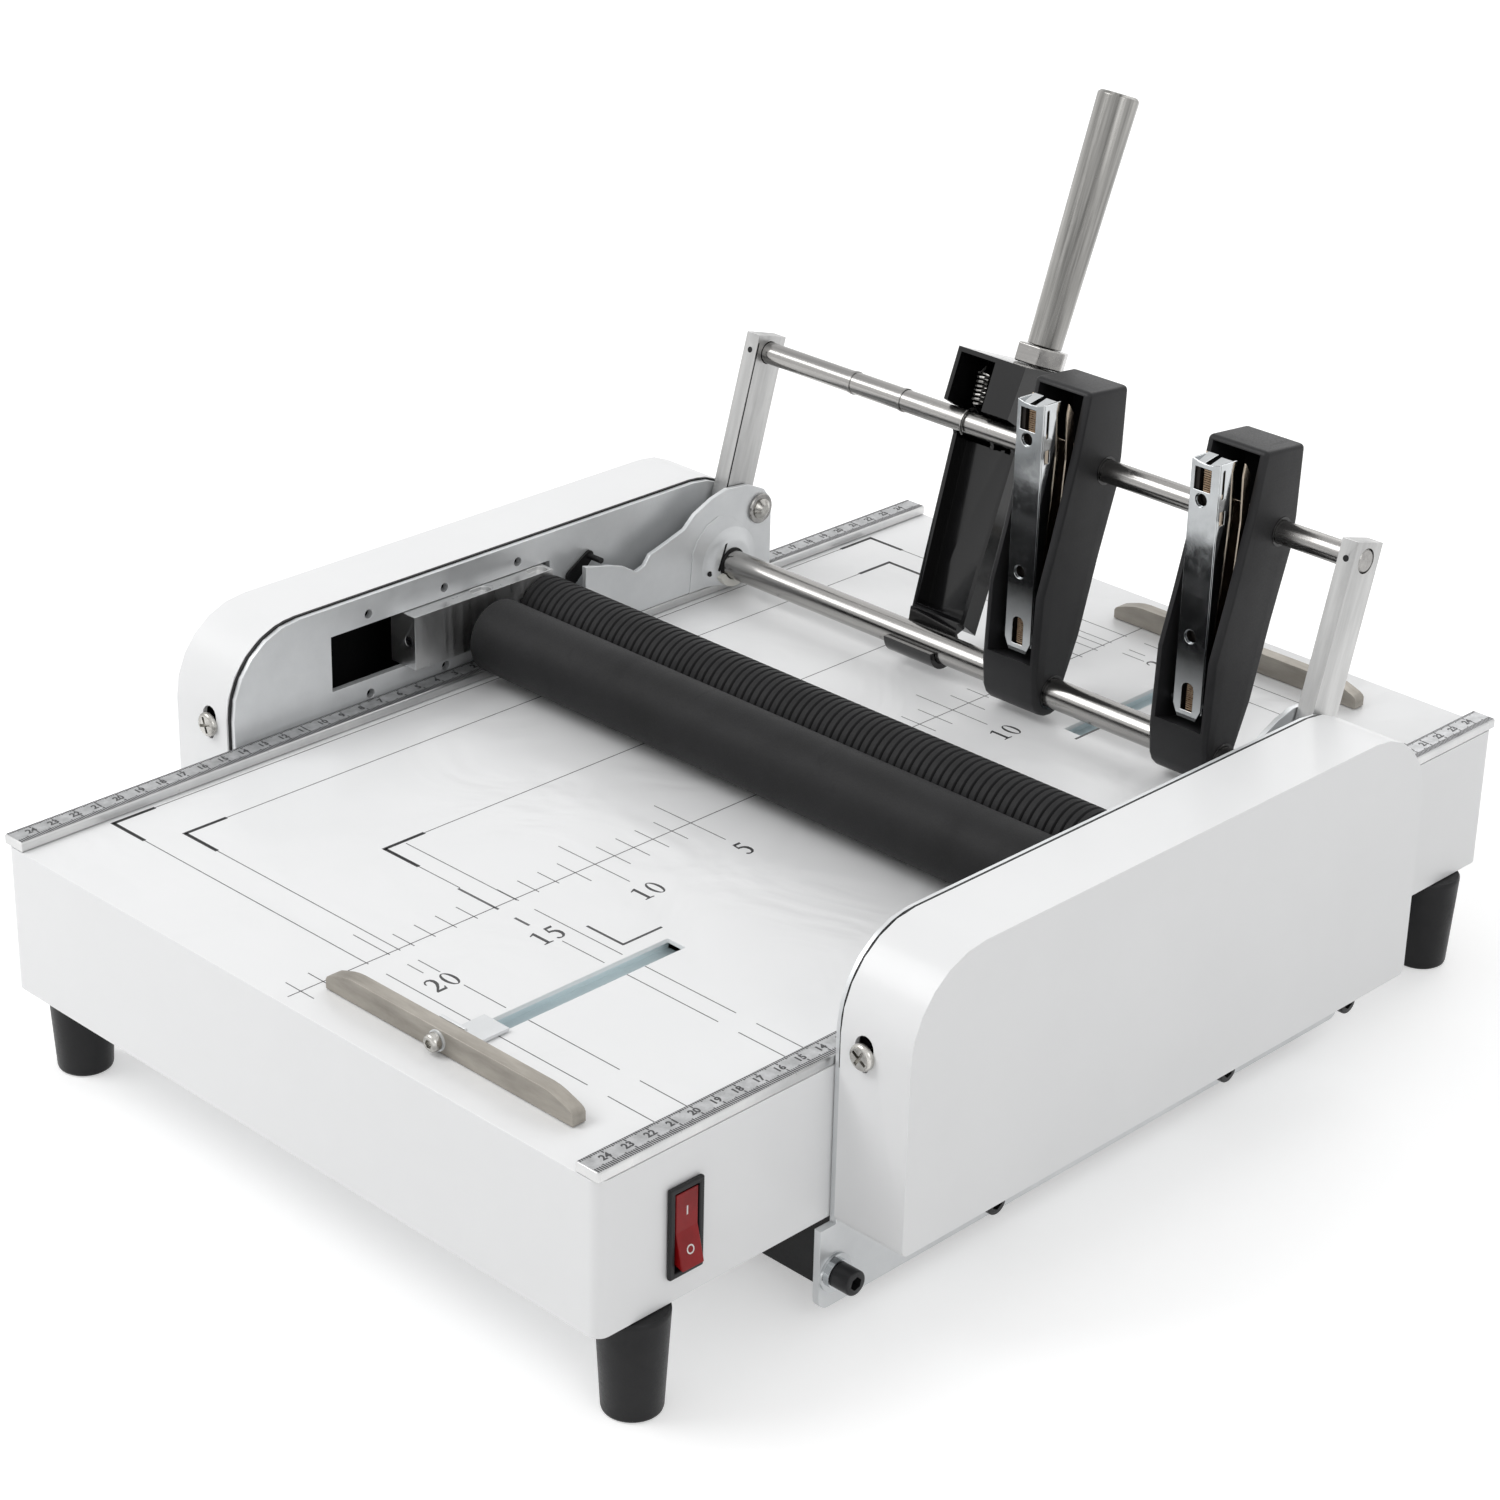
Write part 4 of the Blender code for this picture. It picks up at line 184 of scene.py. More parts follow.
FINE_GRAIN = fine_grain_group()
TONE_DRIFT_AND_REFLECTIONS = tone_drift_group()
HANDLING = handling_group()


def finish(name, tone, shade, smooth, rough, metal=0.0, grain=800.0, stretch=(1, 1, 1), turn=(0, 0, 0), relief=0.00002,
           drift=12.0, drift_stretch=(1, 1, 1), handled=0.08, coat=0.0, smear=25.0, specular=0.5):
    """A finish from the three groups. Sizes of grain and drift are repeats in a metre, relief is in metres."""
    material = bpy.data.materials.new(name)
    material.use_nodes = True
    tree = material.node_tree
    tree.nodes.clear()
    colour = node(tree, "ShaderNodeGroup", {
        "Tone": (*tone, 1), "Shade": (*shade, 1), "Scale": drift, "Stretch": drift_stretch, "Turn": turn,
    }, node_tree=TONE_DRIFT_AND_REFLECTIONS)
    surface = node(tree, "ShaderNodeGroup", {
        "Stretch": stretch, "Turn": turn, "Scale": grain, "Smooth": smooth, "Rough": rough,
    }, node_tree=FINE_GRAIN)
    marks = node(tree, "ShaderNodeGroup", {"Smear Scale": smear}, node_tree=HANDLING)
    dulled = worked_out(tree, "MULTIPLY_ADD", marks.outputs["Mask"], handled, surface.outputs["Roughness"],
                        use_clamp=True)
    bump = node(tree, "ShaderNodeBump", {"Height": surface.outputs["Height"], "Strength": 1.0, "Distance": relief})
    shader = node(tree, "ShaderNodeBsdfPrincipled", {
        "Base Color": colour.outputs["Color"], "Roughness": dulled, "Normal": bump.outputs["Normal"],
        "Metallic": metal, "Coat Weight": coat, "Coat Roughness": 0.08, "Specular IOR Level": specular,
    })
    node(tree, "ShaderNodeOutputMaterial", {"Surface": shader.outputs[0]})
    return material


def with_waves(material):
    """Adds the printed film's slow waves, on the table's top only."""
    tree = material.node_tree
    shader = next(made for made in tree.nodes if made.type == "BSDF_PRINCIPLED")
    fine = next(made for made in tree.nodes if made.type == "BUMP")
    place = node(tree, "ShaderNodeTexCoord").outputs["Object"]
    height = node(tree, "ShaderNodeSeparateXYZ", {0: place}).outputs["Z"]
    on_top = spread(tree, height, TOP - 0.0008, TOP - 0.0002)
    slow = node(tree, "ShaderNodeBump", {
        "Height": noise(tree, place, 16.0, 2.5, Distortion=1.2), "Strength": on_top, "Distance": 0.0022,
        "Normal": fine.outputs["Normal"],
    })
    tree.links.new(slow.outputs["Normal"], shader.inputs["Normal"])
    return material


# The first ones are named for the solids' slots. The others are used beside them.
FINISHES = {
    "white_powder_coat": finish("white powder coat", (0.88, 0.885, 0.89), (0.84, 0.845, 0.85), 0.30, 0.42, grain=900,
                                relief=0.000014, drift=6, coat=0.1),
    "zinc_steel": finish("zinc sheet", (0.80, 0.815, 0.825), (0.64, 0.655, 0.665), 0.28, 0.42, metal=0.5, grain=260,
                         stretch=(1, 0.35, 1), relief=0.000008, drift=14, handled=0.12),
    # Its dark second tone, drawn out into streaks along the handle's lean, is painted reflection.
    "brushed_steel": finish("brushed steel", (0.56, 0.55, 0.53), (0.06, 0.059, 0.056), 0.2, 0.36, metal=1.0, grain=420,
                            stretch=(1, 1, 0.02), turn=(HANDLE_LEAN, 0, 0), relief=0.00001, drift=130,
                            drift_stretch=(1, 1, 0.03), handled=0.1),
    # Its two tones make lengthwise bands on the rods: painted reflections.
    "bright_steel": finish("ground rod", (0.44, 0.43, 0.415), (0.27, 0.265, 0.26), 0.16, 0.26, metal=1.0, grain=700,
                           stretch=(0.02, 1, 1), relief=0.0000015, drift=200, drift_stretch=(0.02, 1, 1), handled=0.1),
    "stop_steel": finish("dull stop bar", (0.46, 0.43, 0.385), (0.27, 0.25, 0.22), 0.42, 0.6, metal=0.6, grain=500,
                         stretch=(0.08, 1, 1), relief=0.00003, drift=90, drift_stretch=(0.25, 1, 1), handled=0.1),
    "machined_aluminium": finish("machined aluminium", (0.70, 0.70, 0.695), (0.58, 0.585, 0.59), 0.26, 0.4, metal=1.0,
                                 grain=500, stretch=(1, 1, 0.05), relief=0.000008, drift=30, handled=0.1),
    "supply_case": finish("plain sheet case", (0.6, 0.61, 0.62), (0.5, 0.51, 0.52), 0.4, 0.5, metal=1.0, grain=300,
                          drift=20),
    # The darker patches of its second tone are painted reflections.
    "chrome": finish("chrome plate", (0.66, 0.68, 0.69), (0.46, 0.475, 0.485), 0.05, 0.12, metal=1.0, grain=300,
                     relief=0.000006, drift=28, smear=60),
    "roller_rubber": finish("ground rubber", (0.016, 0.016, 0.017), (0.010, 0.010, 0.0105), 0.5, 0.66, grain=1800,
                            relief=0.00003, drift=30, handled=0.1, specular=0.2),
    "satin_black": finish("satin black moulding", (0.020, 0.020, 0.0215), (0.013, 0.013, 0.014), 0.36, 0.5, grain=1500,
                          drift=25, handled=0.1, specular=0.26),
    # Also used for the painted shade of the cover gaps and of the rod's shadow ring.
    "black_paint": finish("black paint", (0.012, 0.012, 0.013), (0.008, 0.008, 0.0085), 0.35, 0.5, grain=900,
                          relief=0.00003, drift=20, handled=0.12, specular=0.25),
    "gloss_black": finish("gloss black paint", (0.006, 0.006, 0.0065), (0.004, 0.004, 0.0045), 0.1, 0.17, grain=500,
                          relief=0.00001, drift=20, handled=0.15, coat=0.3, specular=0.3),
    "gear_plastic": finish("nylon", (0.76, 0.75, 0.70), (0.68, 0.67, 0.62), 0.35, 0.5, grain=900, drift=40),
    "brass": finish("brass", (0.72, 0.55, 0.28), (0.55, 0.40, 0.19), 0.2, 0.35, metal=1.0, grain=700, drift=60),
    "board_green": finish("board lacquer", (0.03, 0.2, 0.08), (0.02, 0.13, 0.05), 0.25, 0.4, grain=400, drift=90),
    "switch_red": finish("red rocker", (0.30, 0.006, 0.008), (0.21, 0.003, 0.004), 0.12, 0.2, grain=600, relief=0.00001,
                         drift=90, handled=0.12, specular=0.22),
    "dark_steel": finish("black oxide", (0.03, 0.03, 0.032), (0.018, 0.018, 0.019), 0.28, 0.42, metal=0.6, grain=900,
                         drift=60),
    "table_white": with_waves(finish("white table", (0.885, 0.89, 0.895), (0.85, 0.855, 0.86), 0.3, 0.42, grain=900,
                                     relief=0.000012, drift=5, handled=0.1, coat=0.15)),
    "print_black": finish("print black", (0.03, 0.03, 0.032), (0.05, 0.05, 0.052), 0.4, 0.5, grain=2500,
                          relief=0.000002, drift=300),
    "print_grey": finish("thin print", (0.07, 0.07, 0.073), (0.12, 0.12, 0.123), 0.4, 0.5, grain=2500, relief=0.000002,
                         drift=200),
    "mark_white": finish("white marks", (0.8, 0.78, 0.76), (0.7, 0.68, 0.66), 0.4, 0.5, grain=2000, drift=200),
    "scale_steel": finish("etched scale", (0.54, 0.545, 0.555), (0.36, 0.365, 0.37), 0.34, 0.48, metal=0.7, grain=1500,
                          stretch=(1, 0.6, 1), relief=0.00003, drift=220, handled=0.1),
    "foot_rubber": finish("foot rubber", (0.017, 0.017, 0.018), (0.010, 0.010, 0.011), 0.34, 0.48, grain=1200,
                          relief=0.00003, drift=40, handled=0.15, specular=0.22),
    "slide_zinc": finish("slide zinc", (0.86, 0.95, 0.97), (0.74, 0.83, 0.86), 0.35, 0.5, metal=0.15, grain=300,
                         relief=0.00001, drift=30),
    # Near-black painted shade for the inside faces of the covers.
    "cover_lining": finish("cover lining", (0.01, 0.01, 0.011), (0.006, 0.006, 0.0065), 0.6, 0.8, grain=700, drift=20,
                           specular=0.2),
    "staple_copper": finish("copper staples", (0.46, 0.34, 0.24), (0.28, 0.18, 0.11), 0.2, 0.35, metal=1.0, grain=900,
                            drift=400),
    # Near-black painted shade between and beside the staples behind the window.
    "staple_gap_painted_shade": finish("staple row", (0.02, 0.016, 0.013), (0.01, 0.008, 0.007), 0.3, 0.5, metal=0.5, grain=900,
                          drift=400),
    "warm_nickel": finish("warm nickel plate", (0.62, 0.53, 0.43), (0.45, 0.37, 0.29), 0.1, 0.2, metal=1.0, grain=300,
                          relief=0.00001, drift=60),
    "brushed_arm": finish("brushed arm", (0.60, 0.60, 0.595), (0.36, 0.36, 0.358), 0.28, 0.4, metal=1.0, grain=600,
                          stretch=(1, 1, 0.04), turn=(LEAN, 0, 0), relief=0.000006, drift=90,
                          drift_stretch=(1, 1, 0.1)),
    "bright_screw": finish("bright screw", (0.62, 0.61, 0.58), (0.34, 0.33, 0.31), 0.16, 0.3, metal=1.0, grain=1500,
                           drift=300),
}


# ---------------------------------------------------------------- mesh helpers
def body_of(node_name):
    return frame["nodes"][node_name]["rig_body"]


def slot_of(node_name):
    return frame["nodes"][node_name].data.materials[0].name.split(".")[0]


def linked(name, data):
    """A new object with this data, in the scene."""
    obj = bpy.data.objects.new(name, data)
    bpy.context.scene.collection.objects.link(obj)
    return obj


def made_plain(holder):
    """The plain mesh that an object's curve or tree makes. The object goes."""
    bpy.context.view_layer.update()
    mesh = bpy.data.meshes.new_from_object(holder.evaluated_get(bpy.context.evaluated_depsgraph_get()))
    holder.modifiers.clear()
    bpy.data.objects.remove(holder)
    return mesh


def standing_at(place, right, up, back):
    """The matrix that puts a shape at a place, with its own axes along these three."""
    return Matrix.Translation(place) @ Matrix((right, up, back)).transposed().to_4x4()


def as_mesh(bm):
    mesh = bpy.data.meshes.new("shape")
    bmesh.ops.recalc_face_normals(bm, faces=bm.faces)
    bm.to_mesh(mesh)
    bm.free()
    return mesh


def shown(name, shape, look, body="frame", smooth_deg=None, nodes=()):
    """Puts a shape in the scene, on its body, with its finish and slot, and hides the solids it stands for."""
    mesh = as_mesh(shape) if isinstance(shape, bmesh.types.BMesh) else shape
    mesh.name = name
    obj = linked(name, mesh)
    mesh.materials.clear()
    mesh.materials.append(FINISHES[look])
    if smooth_deg is not None:
        mesh.shade_smooth()
        mesh.set_sharp_from_angle(angle=math.radians(smooth_deg))
    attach(obj, body)
    if nodes:
        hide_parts(*nodes)
    return obj


def stand_in(node_name, ending, shape, look=None, smooth_deg=40.0):
    """Shows a shape in place of one solid, on its body and in its slot."""
    slot = slot_of(node_name)
    return shown(node_name + ending, shape, look or slot, body_of(node_name), smooth_deg, [node_name])


def bevelled(obj, width, segments=2):
    """Breaks the piece's sharp edges."""
    edge = obj.modifiers.new("broken edges", "BEVEL")
    edge.width = width
    edge.segments = segments
    edge.limit_method = "ANGLE"
    edge.angle_limit = math.radians(30.0)
    edge.harden_normals = True
    return obj


def rounded_edges(obj, width, chosen, segments):
    """Rounds only the edges that chosen(first, second) picks, whatever lies near them."""
    bm = bmesh.new()
    bm.from_mesh(obj.data)
    picked = [edge for edge in bm.edges if len(edge.link_faces) == 2 and edge.calc_face_angle(0.0) > 0.5
              and chosen(edge.verts[0].co, edge.verts[1].co)]
    bmesh.ops.bevel(bm, geom=picked, offset=width, offset_type="OFFSET", segments=segments, profile=0.5,
                    affect="EDGES", clamp_overlap=False)
    bm.to_mesh(obj.data)
    bm.free()
    obj.data.shade_smooth()
    obj.data.set_sharp_from_angle(angle=math.radians(38))


def merged_copy(node_name):
    """A CAD node's mesh with its loose triangles joined and its flat faces made whole."""
    bm = bmesh.new()
    bm.from_mesh(frame["nodes"][node_name].data)
    bmesh.ops.remove_doubles(bm, verts=bm.verts, dist=2e-6)
    bmesh.ops.dissolve_limit(bm, angle_limit=math.radians(0.4), verts=bm.verts, edges=bm.edges)
    mesh = bpy.data.meshes.new(node_name)
    bm.to_mesh(mesh)
    bm.free()
    return mesh


def dressed(node_name, width, look=None, segments=2):
    """The node's own shape with broken edges and its finish."""
    return bevelled(stand_in(node_name, "_finished", merged_copy(node_name), look), width, segments)


def walled(bm, low, high):
    """Adds the faces between two rings of points, one of which may be a single point."""
    steps = max(len(low), len(high))
    for k in range(steps):
        n = (k + 1) % steps
        corners = [low[k % len(low)], low[n % len(low)], high[n % len(high)], high[k % len(high)]]
        bm.faces.new(list(dict.fromkeys(corners)))


def filled(bm, outlines, verts):
    """Fills an outline, less the holes after it, with triangles on these points."""
    for triangle in tessellate_polygon([[Vector((a, b, 0)) for a, b in outline] for outline in outlines]):
        bm.faces.new([verts[i] for i in triangle])


def turned(start, toward, profile, steps=64):
    """A round mesh: (along, radius) points of its profile, measured from start in the direction toward."""
    turn = Vector(toward).to_track_quat("Z", "Y").to_matrix()
    bm = bmesh.new()
    rings = []
    for along, radius in profile:
        around = circle((0, 0), radius, steps) if radius else [(0, 0)]
        rings.append([bm.verts.new(Vector(start) + turn @ Vector((a, b, along))) for a, b in around])
    for low, high in zip(rings, rings[1:]):
        walled(bm, low, high)
    for ring in (rings[0][::-1], rings[-1]):
        if len(ring) > 1:
            bm.faces.new(ring)
    return as_mesh(bm)


def prism(outlines, place, low, high, bm=None):
    """A flat piece from an outline, with holes after it. place(a, b, c) gives a point; c runs from low to high."""
    bm = bm or bmesh.new()
    rings = [[[bm.verts.new(place(a, b, c)) for a, b in outline] for c in (low, high)] for outline in outlines]
    for end in (0, 1):
        filled(bm, outlines, [v for ring in rings for v in ring[end]])
    for bottom, top in rings:
        walled(bm, bottom, top)
    return bm


def facing_z(a, b, c):
    """Places an outline drawn as (x, y), with its thickness along z."""
    return (a, b, c)


def on_table(a, b, c):
    return (a, b, TOP + c)


def facing_x(a, b, c):
    """Places an outline drawn as (y, z), with its thickness along x."""
    return (c, a, b)


def facing_y(a, b, c):
    """Places an outline drawn as (x, z), with its thickness along y."""
    return (a, c, b)


def leaned(x, back, along):
    """A point of the swinging head: across, backwards from the arm's middle line, and up it from the lower rod."""
    return Vector((
        x, ROD_Y + along * math.sin(LEAN) + back * math.cos(LEAN),
        ROD_Z + along * math.cos(LEAN) - back * math.sin(LEAN),
    ))


def on_head(a, b, c):
    """Places an outline drawn as (back, along) on the swinging head, with its thickness along x."""
    return leaned(c, a, b)


def arc(centre, radii, angles):
    return [(centre[0] + radii[0] * math.cos(a), centre[1] + radii[1] * math.sin(a)) for a in angles]


def circle(centre, radius, steps=24):
    return arc(centre, (radius, radius), [2 * math.pi * k / steps for k in range(steps)])


def rectangle(low, high):
    return [(low[0], low[1]), (high[0], low[1]), (high[0], high[1]), (low[0], high[1])]


def box(low, high, bm=None):
    return prism([rectangle(low, high)], facing_z, low[2], high[2], bm)


def joined(meshes):
    bm = bmesh.new()
    for mesh in meshes:
        bm.from_mesh(mesh)
        bpy.data.meshes.remove(mesh)
    made = bpy.data.meshes.new("joined")
    bm.to_mesh(made)
    bm.free()
    return made


def middle_of(node_name):
    low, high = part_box(node_name)
    return (low + high) / 2


def number_mesh(text, height, depth, place, weight):
    """A number as a mesh, centred, its strokes widened by weight, then moved by the matrix place."""
    curve = bpy.data.curves.new(text, "FONT")
    curve.body = text
    curve.size = height / 0.72
    curve.extrude = depth / 2
    curve.offset = weight
    curve.resolution_u = 3
    curve.align_x = "CENTER"
    curve.align_y = "CENTER"
    mesh = made_plain(linked(text, curve))
    mesh.transform(place)
    return mesh


# ---------------------------------------------------------------- trees that repeat a shape
def ended(tree, made, take, result):
    """Ends a tree: what it made becomes plain geometry with its finish."""
    real = node(tree, "GeometryNodeRealizeInstances", {0: made.outputs[0]})
    coloured = node(tree, "GeometryNodeSetMaterial", {"Geometry": real.outputs[0], "Material": take["Finish"]})
    tree.links.new(coloured.outputs[0], result[0])
    return tree


def one_in(tree, order, step, which=0):
    """Whether a place in a row is this one of each step of places."""
    left = worked_out(tree, "MODULO", order, step, kind="FunctionNodeIntegerMath")
    return node(tree, "FunctionNodeCompare", {2: left, 3: which}, data_type="INT", operation="EQUAL").outputs[0]


def either(tree, switch, when_not, when):
    return node(tree, "GeometryNodeSwitch", {0: switch, 1: when_not, 2: when}, input_type="FLOAT").outputs[0]


def marks_tree():
    """A row of marks: every fifth and tenth is longer, and each starts on the row, or has its middle on it."""
    tree, take, result = new_tree("Row of marks", "GeometryNodeTree", {
        "Geometry": "Geometry", "Start": (0, 0, 0), "Pitch": (0, 0.001, 0), "Count": 10, "Short": 0.001,
        "Middle": 0.0015, "Long": 0.002, "Width": 0.0002, "Height": 0.0001, "Centred": 0.0, "First": 0,
        "Finish": "Material",
    }, {"Geometry": "Geometry"})
    row = node(tree, "GeometryNodeMeshLine", {
        "Count": take["Count"], "Start Location": take["Start"], "Offset": take["Pitch"],
    }, mode="OFFSET", count_mode="TOTAL")
    index = node(tree, "GeometryNodeInputIndex").outputs[0]
    order = worked_out(tree, "ADD", index, take["First"], kind="FunctionNodeIntegerMath")
    half = either(tree, one_in(tree, order, 5), take["Short"], take["Middle"])
    reach = either(tree, one_in(tree, order, 10), half, take["Long"])
    offset = vector(tree, X=spread(tree, take["Centred"], 0.0, 1.0, 0.5, 0.0))
    bar = node(tree, "GeometryNodeMeshCube", {"Size": (1, 1, 1)})
    shifted = node(tree, "GeometryNodeTransform", {"Geometry": bar.outputs[0], "Translation": offset})
    copies = node(tree, "GeometryNodeInstanceOnPoints", {
        "Points": row.outputs[0], "Instance": shifted.outputs[0],
        "Scale": vector(tree, X=reach, Y=take["Width"], Z=take["Height"]),
    })
    return ended(tree, copies, take, result)


def set_out_tree():
    """Copies of one small part, one at each point of the base mesh, each facing its own way."""
    tree, take, result = new_tree("Part at each place", "GeometryNodeTree", {
        "Geometry": "Geometry", "Part": "Object", "Turn Seed": 3, "Finish": "Material",
    }, {"Geometry": "Geometry"})
    points = node(tree, "GeometryNodeMeshToPoints", {0: take["Geometry"]})
    facing = node(tree, "GeometryNodeInputNamedAttribute", {"Name": "facing"}, data_type="FLOAT_VECTOR")
    upright = node(tree, "FunctionNodeAlignRotationToVector", {"Vector": facing.outputs[0]}, axis="Z")
    angle = node(tree, "FunctionNodeRandomValue", {2: 0.0, 3: math.pi, "Seed": take["Turn Seed"]}, data_type="FLOAT")
    spin = node(tree, "FunctionNodeAxisAngleToRotation", {0: (0, 0, 1), 1: angle.outputs[1]})
    turn = node(tree, "FunctionNodeRotateRotation", {0: upright.outputs[0], 1: spin.outputs[0]}, rotation_space="LOCAL")
    part = node(tree, "GeometryNodeObjectInfo", {0: take["Part"]})
    copies = node(tree, "GeometryNodeInstanceOnPoints", {
        "Points": points.outputs[0], "Instance": part.outputs["Geometry"], "Rotation": turn.outputs[0],
    })
    return ended(tree, copies, take, result)


def ringed_roller_tree():
    """A roller whose rubber is cut into rings: its radius drops in a groove once in each pitch."""
    tree, take, result = new_tree("Ringed roller", "GeometryNodeTree", {
        "Geometry": "Geometry", "Length": 0.3, "Radius": 0.015, "Pitch": 0.0037, "Groove Depth": 0.0008,
        "Rings In A Pitch": 6, "Steps": 56, "Centre": (0, 0, 0), "Finish": "Material",
    }, {"Geometry": "Geometry"})
    per_metre = worked_out(tree, "DIVIDE", take["Rings In A Pitch"], take["Pitch"])
    whole = worked_out(tree, "ROUND", worked_out(tree, "MULTIPLY", take["Length"], per_metre))
    half = vector(tree, X=worked_out(tree, "MULTIPLY", take["Length"], -0.5))
    line = node(tree, "GeometryNodeMeshLine", {
        "Count": worked_out(tree, "ADD", whole, 1.0),
        "Start Location": worked_out(tree, "ADD", take["Centre"], half, kind="ShaderNodeVectorMath"),
        "Offset": vector(tree, X=worked_out(tree, "DIVIDE", take["Length"], whole)),
    }, mode="OFFSET", count_mode="TOTAL")
    spine = node(tree, "GeometryNodeMeshToCurve", {0: line.outputs[0]})
    order = node(tree, "GeometryNodeInputIndex").outputs[0]
    drop = either(tree, one_in(tree, order, take["Rings In A Pitch"]), 0.0, take["Groove Depth"])
    small = worked_out(tree, "MULTIPLY", take["Groove Depth"], 0.12)
    eased = either(tree, one_in(tree, order, take["Rings In A Pitch"], 1), drop, small)
    sized = node(tree, "GeometryNodeSetCurveRadius", {
        "Curve": spine.outputs[0], "Radius": worked_out(tree, "SUBTRACT", take["Radius"], eased),
    })
    ring = node(tree, "GeometryNodeCurvePrimitiveCircle", {"Resolution": take["Steps"], "Radius": 1.0}, mode="RADIUS")
    tube = node(tree, "GeometryNodeCurveToMesh", {
        "Curve": sized.outputs[0], "Profile Curve": ring.outputs[0], "Fill Caps": True,
        "Scale": node(tree, "GeometryNodeInputRadius").outputs[0],
    })
    return ended(tree, tube, take, result)


MARKS = marks_tree()
SET_OUT = set_out_tree()
RINGED = ringed_roller_tree()


def grown(tree, base, look, values):
    """Runs a tree on the base mesh with these named inputs and gives back the plain mesh that it makes."""
    holder = linked(tree.name, base)
    modifier = holder.modifiers.new(tree.name, "NODES")
    modifier.node_group = tree
    identifiers = {item.name: item.identifier for item in tree.interface.items_tree
                   if item.item_type == "SOCKET" and item.in_out == "INPUT"}
    for label, value in {**values, "Finish": FINISHES[look]}.items():
        modifier[identifiers[label]] = value
    return made_plain(holder)


def row_of_marks(start, pitch, count, lengths, width, look, centred=0.0, first=0, height=2 * HAIR):
    return grown(MARKS, bpy.data.meshes.new("row"), look, {
        "Start": start, "Pitch": pitch, "Count": count, "Short": lengths[0], "Middle": lengths[1], "Long": lengths[2],
        "Width": width, "Height": height, "Centred": centred, "First": first,
    })


def set_out(name, part, places, look, body="frame", seed=3, nodes=()):
    """Copies of a part mesh, whose outside is towards +Z, at each (place, facing)."""
    base = bpy.data.meshes.new(name + "_places")
    base.from_pydata([tuple(place) for place, _ in places], [], [])
    facing = base.attributes.new("facing", "FLOAT_VECTOR", "POINT")
    facing.data.foreach_set("vector", [value for _, way in places for value in way])
    holder = linked(name + "_part", part)
    mesh = grown(SET_OUT, base, look, {"Part": holder, "Turn Seed": seed})
    bpy.data.objects.remove(holder)
    return shown(name, mesh, look, body, 35.0, nodes)


# ---------------------------------------------------------------- fasteners, drawn once
def screw_head(radius, height, edge, recess, depth, stem=0.0, stem_radius=0.0):
    """A head with a round edge and a recess whose outline is given, standing on z = 0, with a stem below it."""
    bm = bmesh.new()
    profile = [(0.0, radius - edge * 0.3), (edge * 0.3, radius), (height - edge, radius)]
    profile += [(height - edge + edge * math.sin(a), radius - edge + edge * math.cos(a))
                for a in (0.4, 0.8, 1.2, 1.5708)]
    rings = [[bm.verts.new((a, b, z)) for a, b in circle((0, 0), r, 40)] for z, r in profile]
    mouth = [bm.verts.new((a, b, height)) for a, b in recess]
    floor = [bm.verts.new((a * 0.93, b * 0.93, height - depth)) for a, b in recess]
    filled(bm, [[v.co.xy for v in ring] for ring in (rings[-1], mouth)], rings[-1] + mouth)
    walls, ends = [*zip(rings, rings[1:]), (mouth, floor)], [rings[0][::-1], floor]
    if stem:
        low, high = [[bm.verts.new((a, b, z)) for a, b in circle((0, 0), stem_radius, 20)] for z in (-stem, height / 3)]
        walls.append((low, high))
        ends += [low[::-1], high]
    for low, high in walls:
        walled(bm, low, high)
    for ring in ends:
        bm.faces.new(ring)
    return as_mesh(bm)


def cross_outline(reach, width):
    w = width / 2
    return [(reach, -w), (reach, w), (w, w), (w, reach), (-w, reach), (-w, w), (-reach, w), (-reach, -w), (-w, -w),
            (-w, -reach), (w, -reach), (w, -w)]


def washer_mesh(outer, inner, height):
    return as_mesh(prism([circle((0, 0), outer, 36), circle((0, 0), inner, 36)], facing_z, 0.0, height))


def ring_at(place, way, outer, inner, height):
    """A washer that starts at a place and faces one way."""
    ring = washer_mesh(outer, inner, height)
    ring.transform(Matrix.Translation(place) @ Vector(way).to_track_quat("Z", "Y").to_matrix().to_4x4())
    return ring


